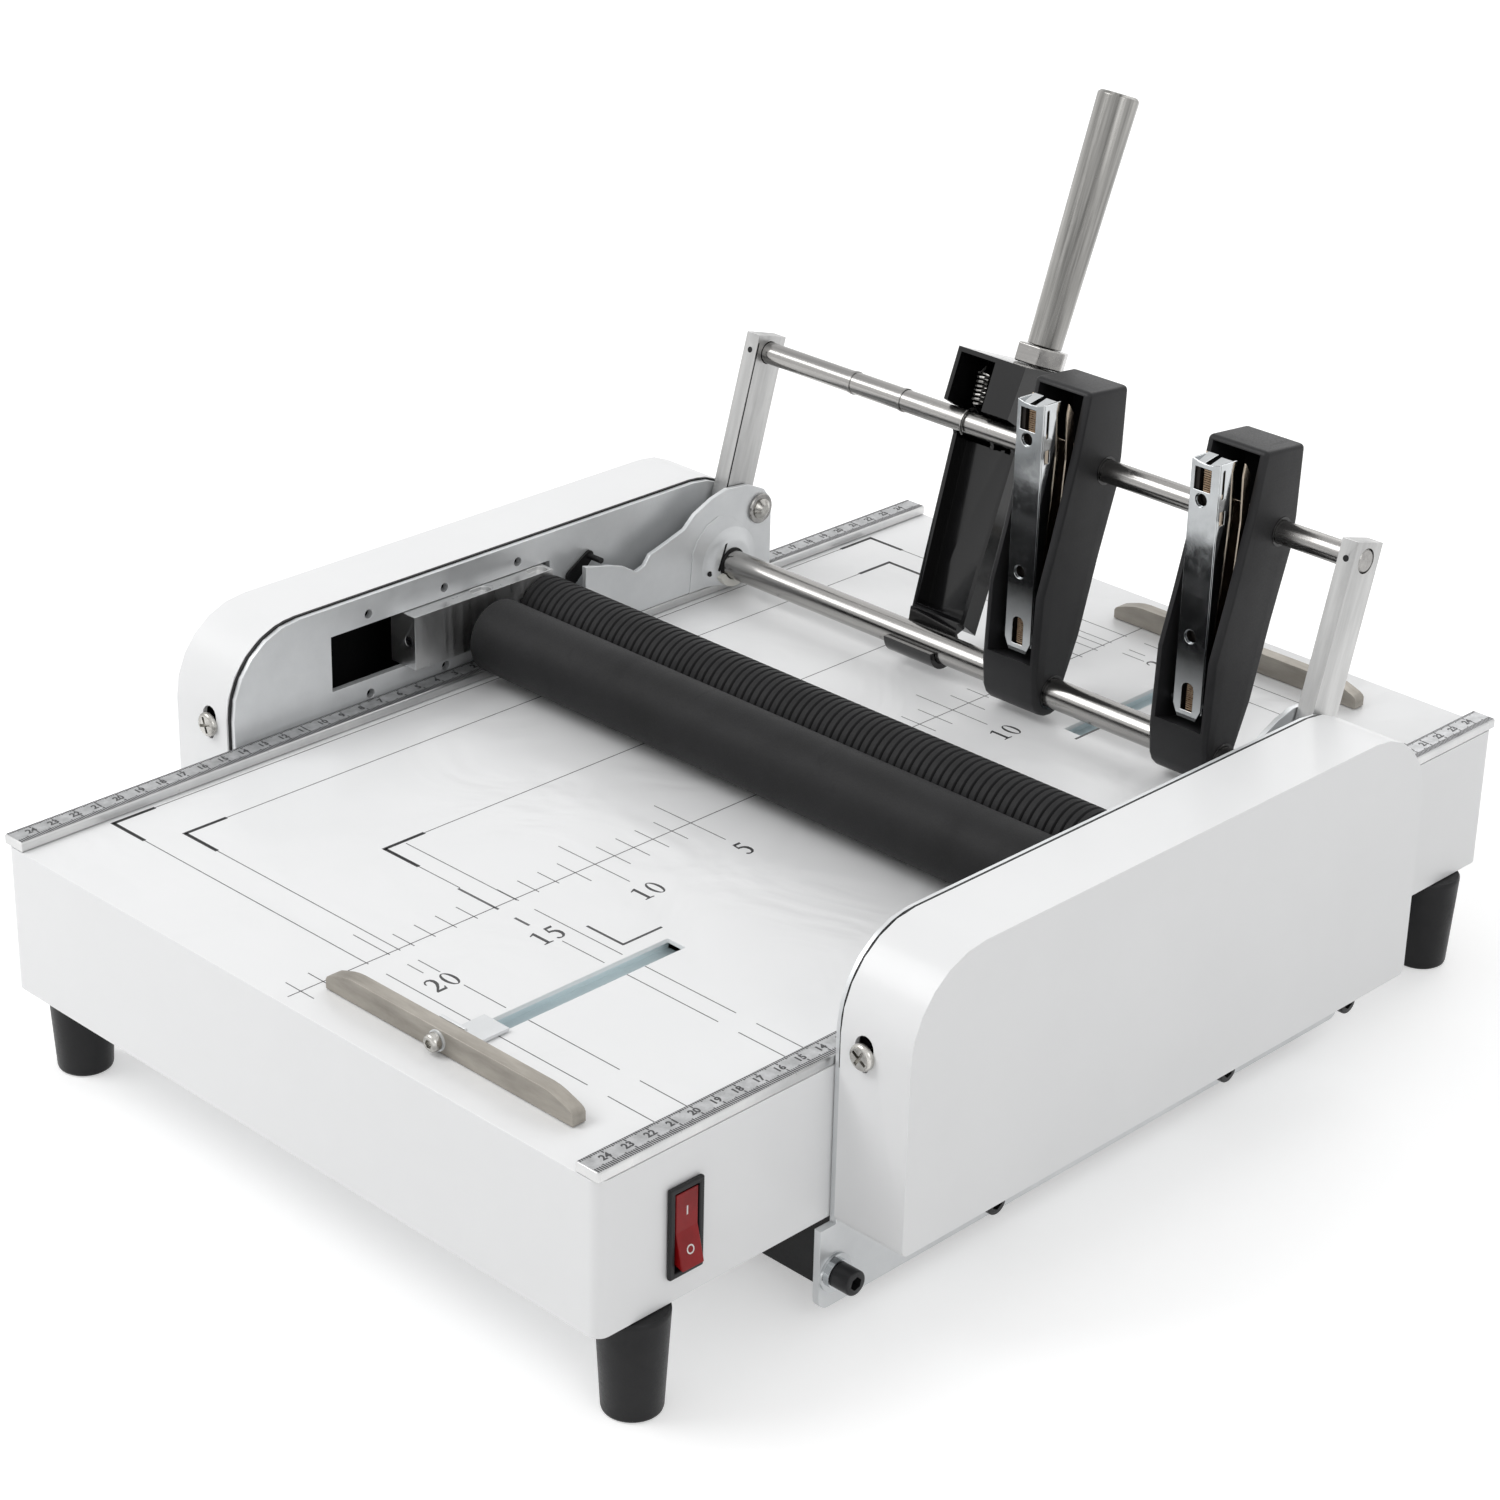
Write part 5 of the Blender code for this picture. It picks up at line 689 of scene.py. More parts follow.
# ---------------------------------------------------------------- the table
# Outlines of the printed digits with serifs, one unit high
WHOLE_TURN = [2 * math.pi * k / 32 for k in range(32)]
PRINT_DIGITS = {
    "0": [arc((0.30, 0.5), (0.28, 0.5), WHOLE_TURN), arc((0.30, 0.5), (0.15, 0.45), WHOLE_TURN)],
    "1": [[(0.08, 0), (0.54, 0), (0.54, 0.05), (0.38, 0.08), (0.38, 1.0), (0.33, 1.0), (0.08, 0.88), (0.08, 0.83),
           (0.24, 0.87), (0.24, 0.08), (0.08, 0.05)]],
    "2": [[(0.04, 0), (0.52, 0), (0.58, 0.24), (0.53, 0.24), (0.49, 0.15), (0.44, 0.13), (0.20, 0.13), (0.36, 0.30),
           (0.50, 0.50), (0.545, 0.68), (0.53, 0.83), (0.45, 0.95), (0.30, 1.0), (0.15, 0.95), (0.06, 0.82),
           (0.05, 0.71), (0.10, 0.69), (0.12, 0.80), (0.18, 0.88), (0.27, 0.91), (0.36, 0.86), (0.40, 0.72),
           (0.37, 0.55), (0.26, 0.35), (0.04, 0.08)]],
    "5": [[(0.14, 1.0), (0.53, 1.0), (0.49, 0.87), (0.20, 0.87), (0.18, 0.70), (0.30, 0.685), (0.44, 0.62),
           (0.53, 0.50), (0.55, 0.33), (0.50, 0.15), (0.38, 0.03), (0.22, -0.01), (0.08, 0.02), (0.03, 0.09),
           (0.06, 0.14), (0.11, 0.14), (0.17, 0.08), (0.24, 0.06), (0.34, 0.12), (0.39, 0.26), (0.38, 0.42),
           (0.32, 0.53), (0.20, 0.58), (0.08, 0.59)]],
}
FOOT_PROFILE = [(0.0, 0.0), (0.0, 0.0098), (0.0006, 0.0106), (0.0016, 0.0109), (0.0385, 0.01295), (0.0398, 0.01295),
                (0.0405, 0.0124), (0.0405, 0.0)]


def table():
    dressed("table_body", 0.0009, "table_white", segments=3)
    for row in ("front", "rear"):
        for side, _ in SIDES:
            name = f"foot_{row}_{side}"
            middle = middle_of(name)
            stand_in(name, "_turned", turned((middle.x, middle.y, 0.0), (0, 0, 1), FOOT_PROFILE), "foot_rubber")


def printed_number(bm, text, height, centre):
    """A number on the table that reads towards +Y, with its middle at centre."""
    width, step = 0.60, 0.74
    begin = -(step * (len(text) - 1) + width) / 2
    for order, digit in enumerate(text):
        start = begin + order * step

        def place(a, b, c):
            return (centre[0] - (b - 0.5) * height, centre[1] + (start + a) * height, TOP + c)

        prism(PRINT_DIGITS[digit], place, -HAIR, HAIR, bm)


def strip(bm, a, b, width):
    """A printed line on the table from one (x, y) to another."""
    start, end = Vector(a), Vector(b)
    side = (end - start).normalized().orthogonal() * width / 2
    prism([[tuple(start - side), tuple(end - side), tuple(end + side), tuple(start + side)]], on_table, -HAIR, HAIR, bm)


def table_print():
    """The size lines, corner marks and centimetre scale printed on the table, near and far."""
    thin, thick, light, reach, slot = 0.0004, 0.0017, 0.0011, 0.0195, 0.006
    past_slots = ((0.0693, 0.1148), (0.1247, 0.1505))
    across = (
        (0.2105, (-0.1485, 0.0015), (0.0112, 0.0577), *past_slots),
        (0.1958, (-0.1233, 0.0015), (0.0112, 0.0230), (0.0357, 0.0577), *past_slots),
        (0.1403, (-0.0605, 0.0015), (0.0112, 0.0577), *past_slots),
        (0.1491, (-0.0625, -0.0198), (0.0357, 0.0577), *past_slots),
        (0.2006, (-0.0188, 0.0014), (0.0110, 0.0196)),
    )
    fine, heavy, numbers, rows = bmesh.new(), bmesh.new(), bmesh.new(), []
    for way in (-1, 1):
        for x, end in ((-0.1485, 0.2105), (-0.1233, 0.1958), (-0.0625, 0.1490), (0.0003, 0.2458)):
            strip(fine, (x, way * slot), (x, way * end), thin)
        for y, *lengths in across:
            for low, high in lengths:
                strip(fine, (low, way * y), (high, way * y), thin)
        for low, high in ((-0.0198, 0.0023), (0.0112, 0.0190)):
            strip(fine, (low, way * 0.1499), (high, way * 0.1499), light)
        for x, y in ((-0.1485, 0.2105), (-0.1233, 0.1958), (-0.0625, 0.1491)):
            strip(heavy, (x, way * (y + thick / 2)), (x, way * (y - reach)), thick)
            strip(heavy, (x, way * y), (x + reach, way * y), thick)
        strip(heavy, (0.0335, way * 0.1350), (0.0529, way * 0.1350), light)
        strip(heavy, (0.0525, way * 0.1350), (0.0525, way * 0.1158), light)
        for first, count, middle, length, longer in (
            (5, 7, -0.0003, 0.0188, 0.039), (12, 3, -0.0036, 0.0119, 0.0119), (16, 4, -0.0036, 0.0119, 0.0119),
            (23, 2, -0.0003, 0.0155, 0.0155),
        ):
            rows.append(row_of_marks((middle, way * first * 0.01, TOP), (0, way * 0.01, 0), count,
                                     (length, longer, longer), thin, "print_grey", 1.0, first))
        for value in (5, 10, 15, 20):
            printed_number(numbers, str(value), 0.0094, (0.0290, way * value * 0.01))
    shown("table_size_lines", fine, "print_grey")
    shown("table_corner_marks", heavy, "print_black")
    shown("table_scale_ticks", joined(rows), "print_grey")
    shown("table_scale_numbers", numbers, "print_black")


def slot_slides():
    """The zinc channel under each stop's slot, along which its slider runs."""
    half, wall, upper, inner, lower = 0.0085, 0.0077, -0.0021, -0.0064, -0.0074
    for row, way, x in (("front", -1, 0.0645), ("rear", 1, 0.0475)):
        outline = [(x - half, upper), (x - half, lower), (x + half, lower), (x + half, upper), (x + wall, upper),
                   (x + wall, inner), (x - wall, inner), (x - wall, upper)]
        low, high = sorted((way * 0.1165, way * 0.2220))
        shown(f"{row}_slot_slide", prism([outline], lambda a, b, c: (a, c, TOP + b), low, high), "slide_zinc")


def rulers():
    """Each ruler's steel scale, with a mark every millimetre on both edges and a number every centimetre."""
    face, inset = RULER_FACE + 0.00003, 0.0004
    scale_in, number_x, scale_out = 0.1518, 0.1568, 0.1618
    top = face + HAIR / 2
    ticks, numbers, scale = [], [], bmesh.new()
    for side, sign in SIDES:
        dressed(f"ruler_{side}", 0.0003, "machined_aluminium")
        inner, outer = sorted((sign * scale_in, sign * scale_out))
        box((inner, -HALF_LENGTH + inset, RULER_FACE - HAIR), (outer, HALF_LENGTH - inset, face), scale)
        for edge, way, lengths in ((inner + 0.0001, 1, (0.0011, 0.0015, 0.0022)),
                                   (outer - 0.0001, -1, (0.0024, 0.0029, 0.0036))):
            ticks.append(row_of_marks((edge, -0.249, top), (0, 0.001, 0), 499, [way * value for value in lengths],
                                      0.00055, "print_black", 0.0, 1, HAIR))
        for value in [*range(-24, 0), *range(1, 25)]:
            place = Matrix.Translation((sign * number_x - 0.0006, value * 0.01 - 0.0012, top))
            place @= Matrix.Rotation(math.pi / 2, 4, "Z")
            numbers.append(number_mesh(str(abs(value)), 0.0031, HAIR, place, 0.00015))
    shown("ruler_scales", scale, "scale_steel")
    shown("ruler_ticks", joined(ticks), "print_black")
    shown("ruler_numbers", joined(numbers), "print_black")


# ---------------------------------------------------------------- sides
def rounded_path(inset):
    """The side plate's top profile as (y, z) points, drawn in by inset."""
    steps = 10
    near, far, top, corner = -0.141 + inset, 0.145 - inset, TOP + 0.049 - inset, 0.034 - inset
    quarter = [math.pi / 2 * k / steps for k in range(steps + 1)]
    return [(near, TOP + 0.0005), *arc((near + corner, top - corner), (-corner, corner), quarter),
            *arc((far - corner, top - corner), (corner, corner), quarter[::-1]), (far, TOP + 0.0005)]


def depth_in_cover(point):
    """How far a point lies inside the cover's outer skin."""
    low_z, high_z, corner = TOP - 0.0603, TOP + 0.0497, 0.035
    over = max(point.z - (high_z - corner), 0.0)
    beside = max(COVER_NEAR + corner - point.y, point.y - (COVER_FAR - corner), 0.0)
    rounded = corner - math.hypot(over, beside) if over and beside else 1.0
    return min(point.y - COVER_NEAR, COVER_FAR - point.y, high_z - point.z, point.z - low_z,
               COVER_OUT - abs(point.x), rounded)


def sides():
    """The plates, the covers with their inside faces painted near-black as shade, the black strip of painted gap shade
    between them and the cover screws.
    """
    gap_shade_in, gap_shade_out, painted_shade_from = 0.1649, 0.16605, 0.0006
    screw_x, screw_z = 0.1768, TOP + 0.0102
    for side, sign in SIDES:
        dressed(f"side_plate_{side}", 0.0003)
        cover = dressed(f"side_cover_{side}", 0.0009, segments=3)
        # Every face lying wholly inside the cover's outer skin gets the near-black finish: painted shade for the
        # cover's dark inside.
        cover.data.materials.append(FINISHES["cover_lining"])
        for face in cover.data.polygons:
            inner = min(depth_in_cover(cover.data.vertices[index].co) for index in face.vertices) > painted_shade_from
            face.material_index = 1 if inner else 0
        # A black strip along the plate's top, filling the gap to the cover: painted shade for the gap's shadow.
        low, high = sorted((sign * gap_shade_in, sign * gap_shade_out))
        gap_shade_strip = prism([rounded_path(-0.0006) + rounded_path(0.0002)[::-1]], facing_x, low, high)
        shown(f"cover_gasket_{side}", gap_shade_strip, "black_paint")
    head = screw_head(0.0050, 0.0026, 0.0014, cross_outline(0.0034, 0.0013), 0.0015, stem=0.006, stem_radius=0.0018)
    places = [((sign * screw_x, y, screw_z), (0, way, 0)) for _, sign in SIDES
              for y, way in ((COVER_NEAR, -1), (COVER_FAR, 1))]
    set_out("cover_screws", head, places, "bright_screw", seed=11)


def under_table():
    """The tray and the base sheet, and the frame screws with their washers."""
    dressed("drive_tray", 0.0006)
    dressed("base_plate", 0.0004)
    stack, screw_z = 0.0025, TOP - 0.0815
    socket = screw_head(0.0048, 0.0080, 0.0007, circle((0, 0), 0.0027, 6), 0.0036, stem=0.006, stem_radius=0.003)
    washers = joined([washer_mesh(0.0075, 0.0031, 0.0011), washer_mesh(0.0056, 0.0031, stack)])
    spots = [((sign * PLATE_OUT, y, screw_z), (sign, 0, 0))
             for _, sign in SIDES for y in (-0.141, -0.067, 0.067, 0.144)]
    heads = [((x + way[0] * stack, y, z), way) for (x, y, z), way in spots]
    set_out("frame_washers", washers, spots, "chrome")
    set_out("frame_screws", socket, heads, "dark_steel", seed=5)


# ---------------------------------------------------------------- rollers and rods
def round_bar(node_name, look, profile, steps, centre=None):
    """A round bar along X with the node's own length. profile(length, radius) gives its outline."""
    low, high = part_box(node_name)
    centre = centre or middle_of(node_name)
    outline = profile(high.x - low.x, (high.z - low.z) / 2)
    return stand_in(node_name, "_turned", turned((low.x, centre.y, centre.z), (1, 0, 0), outline, steps), look)


def both_ends(points, length):
    """A bar's outline from the points of its first half, mirrored for the other half."""
    return points + [(length - along, radius) for along, radius in reversed(points)]


def journal(length):
    return both_ends([(0, 0.0042), (0.0008, 0.005)], length)


def rollers():
    """The smooth front roller, the ringed rear one, and the bearing blocks with their pressure screws."""
    def smooth_roller(length, radius):
        end = (length - 2 * ROLLER_FACE) / 2
        return both_ends([
            (0, 0.0042), (0.0008, 0.005), (end, 0.005), (end, radius - 0.0026), (end + 0.0004, radius - 0.0022),
            (end + 0.0004, radius - 0.0008), (end + 0.0012, radius),
        ], length)

    round_bar("front_roller", "roller_rubber", smooth_roller, 96)
    low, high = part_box("rear_roller")
    centre = Vector((0.0, (low.y + high.y) / 2, (low.z + high.z) / 2))
    rings = grown(RINGED, bpy.data.meshes.new("rings"), "roller_rubber", {
        "Length": 2 * ROLLER_FACE - 0.0008, "Radius": (high.z - low.z) / 2, "Pitch": 0.0037, "Groove Depth": 0.0009,
        "Rings In A Pitch": 6, "Steps": 64, "Centre": centre,
    })
    shown("rear_roller_rings", rings, "roller_rubber", "rear_folding_roller", 28, nodes=["rear_roller"])
    for side, start, length in (("left", low.x, -ROLLER_FACE - low.x),
                                ("right", ROLLER_FACE - 0.0005, high.x - ROLLER_FACE)):
        mesh = turned((start, centre.y, centre.z), (1, 0, 0), journal(length), 40)
        shown(f"rear_journal_{side}", mesh, "bright_steel", "rear_folding_roller", 40)
    for side, sign in SIDES:
        name = f"bearing_block_{side}"
        dressed(name, 0.0005)
        screw = screw_head(0.0024, 0.0023, 0.0004, circle((0, 0), 0.0013, 6), 0.0016)
        place = ((sign * 0.1590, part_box(name)[0].y + 0.00205, middle_of(name).z), (0, -1, 0))
        set_out(f"pressure_screw_{side}", screw, [place], "dark_steel", body_of(name))


def rods():
    """The two rods with broken ends, and the upper one's two rings."""
    chamfer, lift = 0.0006, 0.00035

    def plain_rod(length, radius):
        return both_ends([(0.0, radius - chamfer), (chamfer, radius)], length)

    def ringed_rod(length, _):
        radius = UPPER_ROD_RADIUS
        profile = [(0, radius - chamfer), (chamfer, radius)]
        for x in (-0.1028, -0.0742):
            at = x + length / 2
            profile += [(at - 0.0008, radius), (at - 0.0007, radius + lift), (at + 0.0007, radius + lift),
                        (at + 0.0008, radius)]
        return profile + [(length - chamfer, radius), (length, radius - chamfer)]

    round_bar("lower_rod", "bright_steel", plain_rod, 72)
    round_bar("upper_rod", "bright_steel", ringed_rod, 64, leaned(0, 0, UPPER_ROD_ALONG))


def arms():
    """The arms with their dark seam and the hole of the screw that grips the upper rod."""
    seam = [(-0.0081, 0.0095), (-0.0074, 0.0095), (-0.0074, 0.0968), (-0.0081, 0.0968)]
    for side, sign in SIDES:
        dressed(f"arm_{side}", 0.0005, "brushed_arm")
        low, high = sorted((sign * (ARM_IN - 0.00006), sign * (ARM_IN + 0.0004)))
        shown(f"arm_seam_{side}", prism([seam], on_head, low, high), "black_paint", "head")
        hole = circle((sign * (ARM_IN + ARM_OUT) / 2, UPPER_ROD_ALONG), 0.0013, 16)
        drilled = prism([hole], lambda a, b, c: leaned(a, c, b), -0.00856, -0.0083)
        shown(f"arm_grip_hole_{side}", drilled, "black_paint", "head")


def pivots():
    """The wavy brackets with their catching bolts, and the raised seat and half bush where the lower rod goes in."""
    patch_shares = ((0.552, 0.0), (0.566, 0.42), (0.592, 0.56), (0.640, 0.68), (0.705, 0.74), (0.780, 0.68),
                    (0.842, 0.55), (0.872, 0.0))
    bulge = [(0.0003, 0.0068), (0.0003, 0.0165), (0.0006, 0.0150), (0.0012, 0.0132), (0.0020, 0.0118), (0.0025, 0.0108),
             (0.0027, 0.0098), (0.0027, 0.0068)]
    slit = [(-0.0030, 0.0102), (-0.0042, 0.0098), (-0.0086, -0.0012), (-0.0074, -0.0020)]
    lower_half = [math.radians(205 + 13 * k) for k in range(11)]
    for side, sign in SIDES:
        bracket, bolt = f"pivot_bracket_{side}", f"stop_bolt_{side}"
        inward, face, rod = (-sign, 0, 0), sign * BRACKET_IN, (sign * BRACKET_IN, ROD_Y, ROD_Z)

        def inside(start, end):
            """Two depths inwards from the bracket's face, as x values in order."""
            return sorted((face - sign * start, face - sign * end))

        dressed(bracket, 0.00035)
        mesh = merged_copy("stop_bolt_left")
        if sign > 0:
            mesh.transform(Matrix.Diagonal((-1, 1, 1, 1)))
            mesh.flip_normals()
        bevelled(stand_in(bolt, "_finished", mesh, "bright_screw"), 0.0004)
        low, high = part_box(bracket)
        patch = [(low.y + a * (high.y - low.y), max(low.z + b * (high.z - low.z), RULER_TOP)) for a, b in patch_shares]
        bevelled(shown(f"rod_plate_{side}", prism([patch], facing_x, *inside(0, 0.0004)), "zinc_steel"), 0.00018)
        boss = bmesh.new()
        boss.from_mesh(turned(rod, inward, bulge, 48))
        bmesh.ops.bisect_plane(boss, geom=boss.verts[:] + boss.edges[:] + boss.faces[:], plane_co=(0, 0, RULER_TOP),
                               plane_no=(0, 0, -1), clear_outer=True)
        shown(f"rod_boss_{side}", boss, "zinc_steel", smooth_deg=50)
        ring = turned(rod, inward, [(0.0024, 0.0063), (0.0024, 0.0072), (0.0032, 0.0072), (0.0032, 0.0063)], 40)
        shown(f"rod_shadow_ring_{side}", ring, "black_paint", smooth_deg=35)
        cup = [*arc(rod[1:], (0.0100, 0.0100), lower_half), *arc(rod[1:], (0.0066, 0.0066), lower_half)[::-1]]
        bush = prism([cup], facing_x, *inside(0.0026, 0.0052))
        bevelled(shown(f"rod_half_bush_{side}", bush, "gear_plastic"), 0.0004)
        dark = prism([circle((ROD_Y - 0.0124, ROD_Z - 0.0020), 0.0012, 18)], facing_x, *inside(0.0012, 0.0020))
        prism([[(ROD_Y + a, ROD_Z + b) for a, b in slit]], facing_x, *inside(0.0012, 0.0028), dark)
        shown(f"rod_boss_hole_{side}", dark, "black_paint")
        middle = middle_of(bolt)
        washer = turned((sign * (BRACKET_IN - HAIR), middle.y, middle.z), inward, [
            (0, 0.0032), (0, 0.0064), (0.0004, 0.0068), (0.0010, 0.0068), (0.0014, 0.0064), (0.0014, 0.0032)], 40)
        shown(f"bolt_washer_{side}", washer, "bright_steel", smooth_deg=40)
    dressed("trip_lever", 0.0003)


# ---------------------------------------------------------------- staplers
def staplers():
    """Both housings are drawn from the second one's shape."""
    shape, shape_x = merged_copy("stapler_housing_2"), MAGAZINE_PLACES[1][1]
    bores = ((0.0, LOWER_ROD_RADIUS), (UPPER_ROD_ALONG, UPPER_ROD_RADIUS))
    for number, x in MAGAZINE_PLACES:
        housing = f"stapler_housing_{number}"
        low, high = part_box(housing)
        mesh = shape.copy()
        mesh.transform(Matrix.Translation((x - shape_x, 0, 0)))
        shell = shown(housing + "_finished", mesh, "satin_black", f"stapler_{number}", nodes=[housing])

        def outer_edge(first, second):
            """Whether an edge is on a flank's outline, and not on a rod's bore."""
            flank = all(min(abs(p.x - low.x), abs(p.x - high.x)) < 1e-5 for p in (first, second))
            middle = (first + second) / 2
            return flank and all(math.hypot(middle.y - leaned(0, 0, along).y, middle.z - leaned(0, 0, along).z) > 0.0075
                                 for along, _ in bores)

        rounded_edges(shell, 0.0020, outer_edge, 5)
        rings = [ring_at(leaned(side_x - way * 0.0003, 0, along), (way, 0, 0), bore + 0.0012, bore + 0.0002, 0.0005)
                 for side_x, way in ((low.x, -1), (high.x, 1)) for along, bore in bores]
        shown(f"rod_rings_{number}", joined(rings), "gloss_black", f"stapler_{number}", 35)
        magazine(number, x)


def magazine(number, x):
    """A chrome magazine: windowed front, staples seen in it, side slots, wider channel behind, top rails and pin."""
    body, name = f"magazine_{number}", f"stapler_magazine_{number}"
    low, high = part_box(name)
    base, height, front = low.z, high.z - low.z, low.y
    half, wall = 0.0067, 0.0008

    def across(a, b, c):
        """Places an outline drawn as (from the front, up), with its thickness along x."""
        return (x + c, front + a, base + b)

    def folded(ending, bm, look, edge):
        bevelled(shown(f"{name}_{ending}", bm, look, body), edge)

    window_low, window_top, bore = height - 0.0124, height - 0.0032, 0.0028
    screw_holes = ((-0.0011, 0.849 * height), (-0.0010, 0.322 * height))
    outline = [(-half + 0.0022, 0.0), (half - 0.0022, 0.0), (half, 0.005), (half, height - 0.0002),
               (half * 0.5, height - 0.0011), (0, height - 0.0014), (-half * 0.5, height - 0.0011),
               (-half, height - 0.0002), (-half, 0.005)]
    port = [(-0.0030, 0.0034), (0.0026, 0.0034), (0.0026, 0.0130),
            *arc((-0.0002, 0.0130), (0.0028, 0.0022), (0.5, 1.0, 1.57, 2.1, 2.6)), (-0.0030, 0.0130)]
    window = rectangle((-0.0050, window_low), (0.0028, window_top))
    holes = [window, *(circle(hole, bore, 28) for hole in screw_holes), port]
    sheet = prism([outline, *holes], lambda a, b, c: (x + a, front + c, base + b), 0.0, wall)
    shell = shown(f"{name}_front", sheet, "chrome", body, nodes=[name])
    bevelled(shell, 0.0002)

    side = [(wall + 0.0001, 0.0030), (0.0030, 0.0015), (0.0042, 0.0300), (0.0076, 0.0600), (0.0106, height - 0.0220),
            (0.0110, height - 0.0076), (0.0096, height - 0.0064), (0.0096, height - 0.0048), (0.0108, height - 0.0036),
            (0.0104, height - 0.0006), (wall + 0.0001, height - 0.0002)]
    round_end = (0.0007, 0.0007)
    slot = [*arc((0.0031, height - 0.0034), round_end, (0, 0.8, 1.57, 2.35, 3.14)),
            *arc((0.0031, height - 0.0140), round_end, (3.14, 3.93, 4.71, 5.5, 6.28))]
    recess = rectangle((0.0022, height - 0.0252), (0.0052, height - 0.0196))
    cheek = [(0.0070, 0.0130), (0.0064, 0.0035), (0.0100, 0.0050), (0.0120, 0.0140), (0.0164, height - 0.0190),
             (0.0154, height - 0.0060), (0.0122, height - 0.0015), (0.0112, height - 0.0060), (0.0120, height - 0.0250),
             (0.0084, 0.0340)]
    back = [(0.0112, 0.0140), (0.0118, 0.0138), (0.0168, height - 0.0190), (0.0164, height - 0.0190)]
    walls, channel, rails = bmesh.new(), bmesh.new(), bmesh.new()
    channel_in, channel_out = 0.0088, 0.0096
    for way in (-1, 1):
        prism([side, slot, recess], lambda a, b, c: (x + way * (half - c), front + a, base + b), 0.0, wall, walls)
        prism([cheek], lambda a, b, c: (x + way * c, front + a, base + b), channel_in, channel_out, channel)
    prism([back], across, -channel_out, channel_out, channel)
    for low_x, high_x, drop in ((-0.0064, -0.0016, 0.0002), (-0.0002, 0.0064, 0.0014)):
        rail = [(0.0010, height - 0.0022 - drop), (0.0010, height - 0.0014 - drop),
                (0.0098, height - 0.0002 - drop / 2), (0.0098, height - 0.0012 - drop / 2)]
        prism([rail], across, low_x, high_x, rails)
    folded("sides", walls, "chrome", 0.00018)
    folded("channel", channel, "warm_nickel", 0.0002)
    folded("rails", rails, "chrome", 0.0002)

    pitch, thickness = 0.0009, 0.0005
    rows = [row_of_marks((x - 0.0012, front + 0.0028, base + start), (0, 0, pitch), count, (0.0044,) * 3, 0.0036,
                         "staple_copper", height=thickness)
            for start, count in ((0.0040, 13), (window_low + 0.0002, 10))]
    shown(f"{name}_staple_ribs", joined(rows), "staple_copper", body)
    # A near-black block behind and left of the copper ribs: painted shade inside the magazine, among the staples.
    top = base + height - 0.0026
    shade_block = box((x - 0.0054, front + 0.0034, base + 0.003), (x + 0.0036, front + 0.0062, top))
    box((x - 0.0058, front + 0.0011, base + 0.003), (x - 0.0032, front + 0.0034, top), shade_block)
    shown(f"{name}_staples", shade_block, "staple_gap_painted_shade", body)
    threads = [ring_at((x + a, front + 0.0011 + k * 0.0007, base + b), (0, -1, 0), bore + 0.0003, bore - 0.0003, 0.0002)
               for a, b in screw_holes for k in range(3)]
    shown(f"{name}_threads", joined(threads), "chrome", body, 40)
    reach = (high.x - low.x) / 2
    pin = both_ends([(0, 0.0016), (0.0004, 0.002)], 2 * reach)
    shown(f"{name}_pin", turned((x - reach, front + 0.0055, base + 0.0045), (1, 0, 0), pin, 32), "chrome", body, 40)


# ---------------------------------------------------------------- handle, stops, switch and the rest
def handle():
    dressed("handle_bracket", 0.0005)
    dressed("handle", 0.0004)
    dressed("handle_nut", 0.0007, "bright_steel")


def stops():
    """The two paper stops: a bar whose ends slope down to a round tip, its slider, and a bright screw on a washer."""
    tip = [(0.0, 0.0), (0.0, 0.42), (0.0006, 0.54), (0.0020, 0.64), (0.0050, 0.76), (0.0090, 0.90), (0.0120, 0.97),
           (0.0150, 1.0)]
    outside, thickness = Vector((0, -1, 0)), 0.0006
    for row in ("front", "rear"):
        name, screw = f"{row}_stop_bar", f"{row}_stop_screw"
        dressed(f"{row}_stop_slider", 0.0003)
        low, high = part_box(name)
        rise = high.z - low.z
        outline = [(low.x + a, low.z + b * rise) for a, b in tip]
        outline += [(high.x - a, low.z + b * rise) for a, b in reversed(tip)]
        bevelled(stand_in(name, "_sloped", prism([outline], facing_y, low.y, high.y), "stop_steel", 35), 0.0008, 3)
        near, far = (corner.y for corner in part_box(screw))
        centre = middle_of(screw)
        centre.y = low.y
        washer = washer_mesh(0.0040, 0.0020, thickness)
        set_out(f"{row}_stop_washer", washer, [(centre, outside)], "zinc_steel", body_of(screw))
        head = screw_head(0.0034, low.y - near - 0.0007, 0.0013, circle((0, 0), 0.0017, 6), 0.0014,
                          stem=far - low.y - thickness, stem_radius=0.0019)
        set_out(screw + "_head", head, [(centre + outside * thickness, outside)], "bright_screw", body_of(screw),
                seed=4, nodes=[screw])


def switch_and_inlet():
    """The switch, with its white I and O laid on the rocker's two slopes, and the mains inlet."""
    dressed("switch_bezel", 0.0006)
    rocker = dressed("switch_rocker", 0.0004)
    skin = BVHTree.FromPolygons([v.co for v in rocker.data.vertices], [tuple(p.vertices) for p in rocker.data.polygons])
    middle, across, marks = middle_of("switch_rocker"), Vector((0, 1, 0)), []
    for outlines, up in (([rectangle((-0.0003, -0.0017), (0.0003, 0.0017))], 0.0066),
                         ([circle((0, 0), 0.0017, 28), circle((0, 0), 0.0012, 28)], -0.0078)):
        hit, normal, _, _ = skin.ray_cast(Vector((0.3, middle.y, middle.z + up)), Vector((-1, 0, 0)))
        above = normal.cross(across).normalized()
        mark = as_mesh(prism(outlines, facing_z, -HAIR, HAIR))
        mark.transform(standing_at(hit, across, above, normal))
        marks.append(mark)
    shown("switch_marks", joined(marks), "mark_white", "rocker")
    dressed("power_inlet", 0.0005)


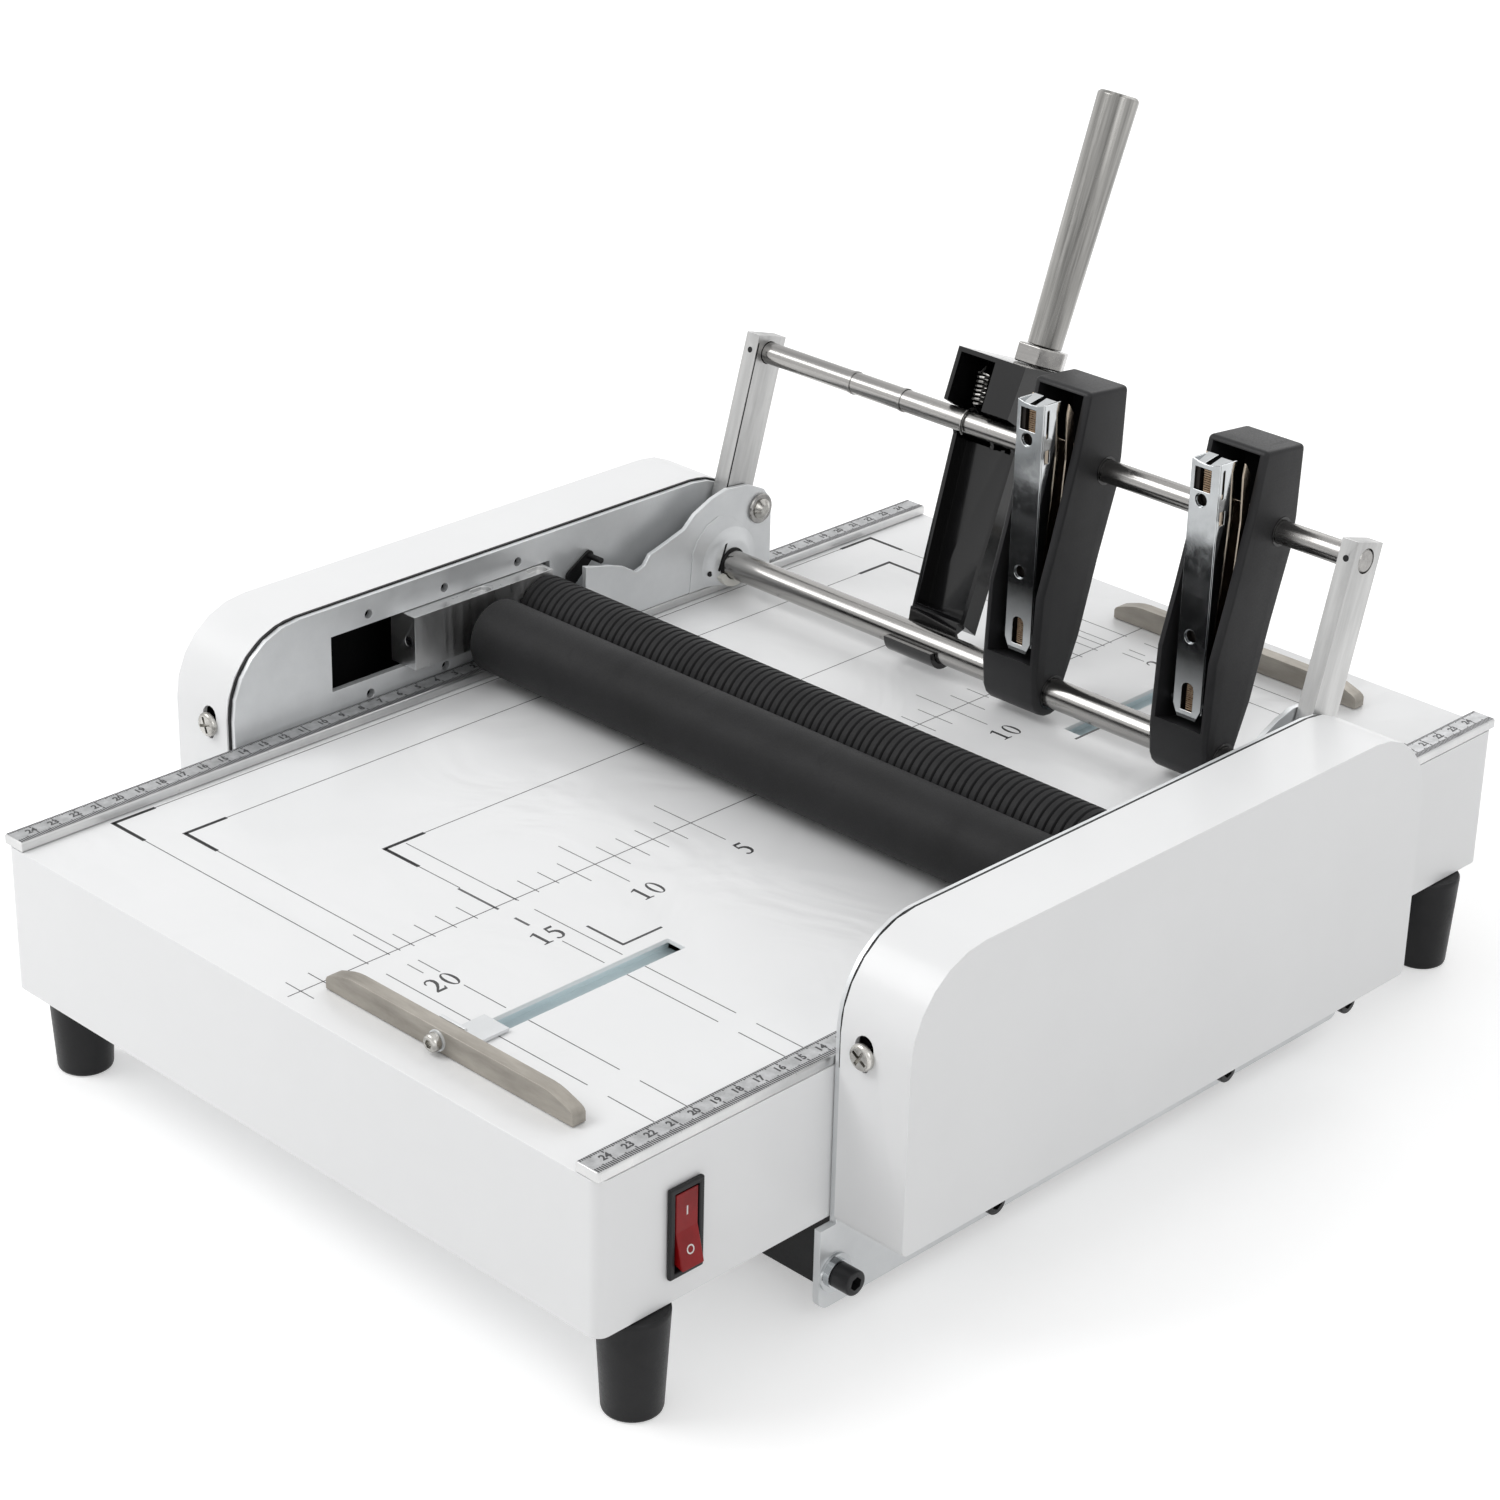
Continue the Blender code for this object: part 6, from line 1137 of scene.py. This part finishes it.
def other_nodes():
    """Nodes whose own mesh is shown take the finish of their slot."""
    for name, obj in frame["nodes"].items():
        if not obj.hide_render:
            obj.material_slots[0].material = FINISHES[slot_of(name)]


# ---------------------------------------------------------------- studio
def pale_studio_tree(owner):
    """The owner's cleared tree, and a mask of the rays that see it, straight or through metal and glass."""
    owner.use_nodes = True
    tree = owner.node_tree
    tree.nodes.clear()
    rays = node(tree, "ShaderNodeLightPath").outputs
    seen = worked_out(tree, "MAXIMUM", rays["Is Camera Ray"], rays["Is Glossy Ray"])
    return tree, worked_out(tree, "MAXIMUM", seen, rays["Is Transmission Ray"])


def camera():
    """The photograph's camera, fitted to the object."""
    place = (0.87261, -0.91821, 0.72494)
    right, back = Vector((0.7107, 0.7031, 0.0212)), Vector((0.6272, -0.647, 0.4336)).normalized()
    right = (right - back * right.dot(back)).normalized()
    camera_data = bpy.data.cameras.new("camera")
    camera_data.sensor_width = 36.0
    camera_data.sensor_fit = "HORIZONTAL"
    camera_data.lens = 86.667
    camera_data.clip_start = 0.01
    made = linked("camera", camera_data)
    made.matrix_world = standing_at(place, right, back.cross(right), back)
    bpy.context.scene.camera = made


def studio():
    """A pale floor and a white world, with three soft lamps."""
    camera()
    floor_mesh = bpy.data.meshes.new("floor")
    reach, floor_glow, floor_tone = 4.0, 0.42, (0.82, 0.82, 0.82, 1)
    floor_mesh.from_pydata([(*corner, 0) for corner in rectangle((-reach, -reach), (reach, reach))], [], [(0, 1, 2, 3)])
    floor = linked("floor", floor_mesh)
    pale = bpy.data.materials.new("pale floor")
    tree, seen = pale_studio_tree(pale)
    strength = worked_out(tree, "MULTIPLY", seen, floor_glow)
    glow = node(tree, "ShaderNodeEmission", {"Color": (1, 1, 1, 1), "Strength": strength})
    matt = node(tree, "ShaderNodeBsdfDiffuse", {"Color": floor_tone})
    both = node(tree, "ShaderNodeAddShader", {0: matt.outputs[0], 1: glow.outputs[0]})
    node(tree, "ShaderNodeOutputMaterial", {"Surface": both.outputs[0]})
    floor_mesh.materials.append(pale)

    world = bpy.data.worlds.new("studio")
    bpy.context.scene.world = world
    tree, seen = pale_studio_tree(world)
    soft, white = (node(tree, "ShaderNodeBackground", {"Color": (1, 1, 1, 1), "Strength": level})
                   for level in (0.56, 1.0))
    mixed = node(tree, "ShaderNodeMixShader", {0: seen, 1: soft.outputs[0], 2: white.outputs[0]})
    node(tree, "ShaderNodeOutputWorld", {"Surface": mixed.outputs[0]})

    aim = Vector((0, 0, 0.1))
    for name, place, size, power in (
        ("key", (-1.3, -1.5, 2.1), 1.5, 32.0), ("side", (2.0, -0.6, 1.3), 1.2, 6.0),
        ("back", (-0.4, 1.9, 1.7), 1.4, 12.0),
    ):
        lamp_data = bpy.data.lights.new(name, "AREA")
        lamp_data.size = size
        lamp_data.energy = power
        lamp = linked(name, lamp_data)
        lamp.location = place
        lamp.rotation_euler = (Vector(place) - aim).to_track_quat("Z", "Y").to_euler()
    bpy.context.scene.view_settings.view_transform = "Standard"


for build in (studio, table, table_print, slot_slides, rulers, sides, under_table, rollers, rods, arms, pivots,
              staplers, handle, stops, switch_and_inlet, other_nodes):
    build()
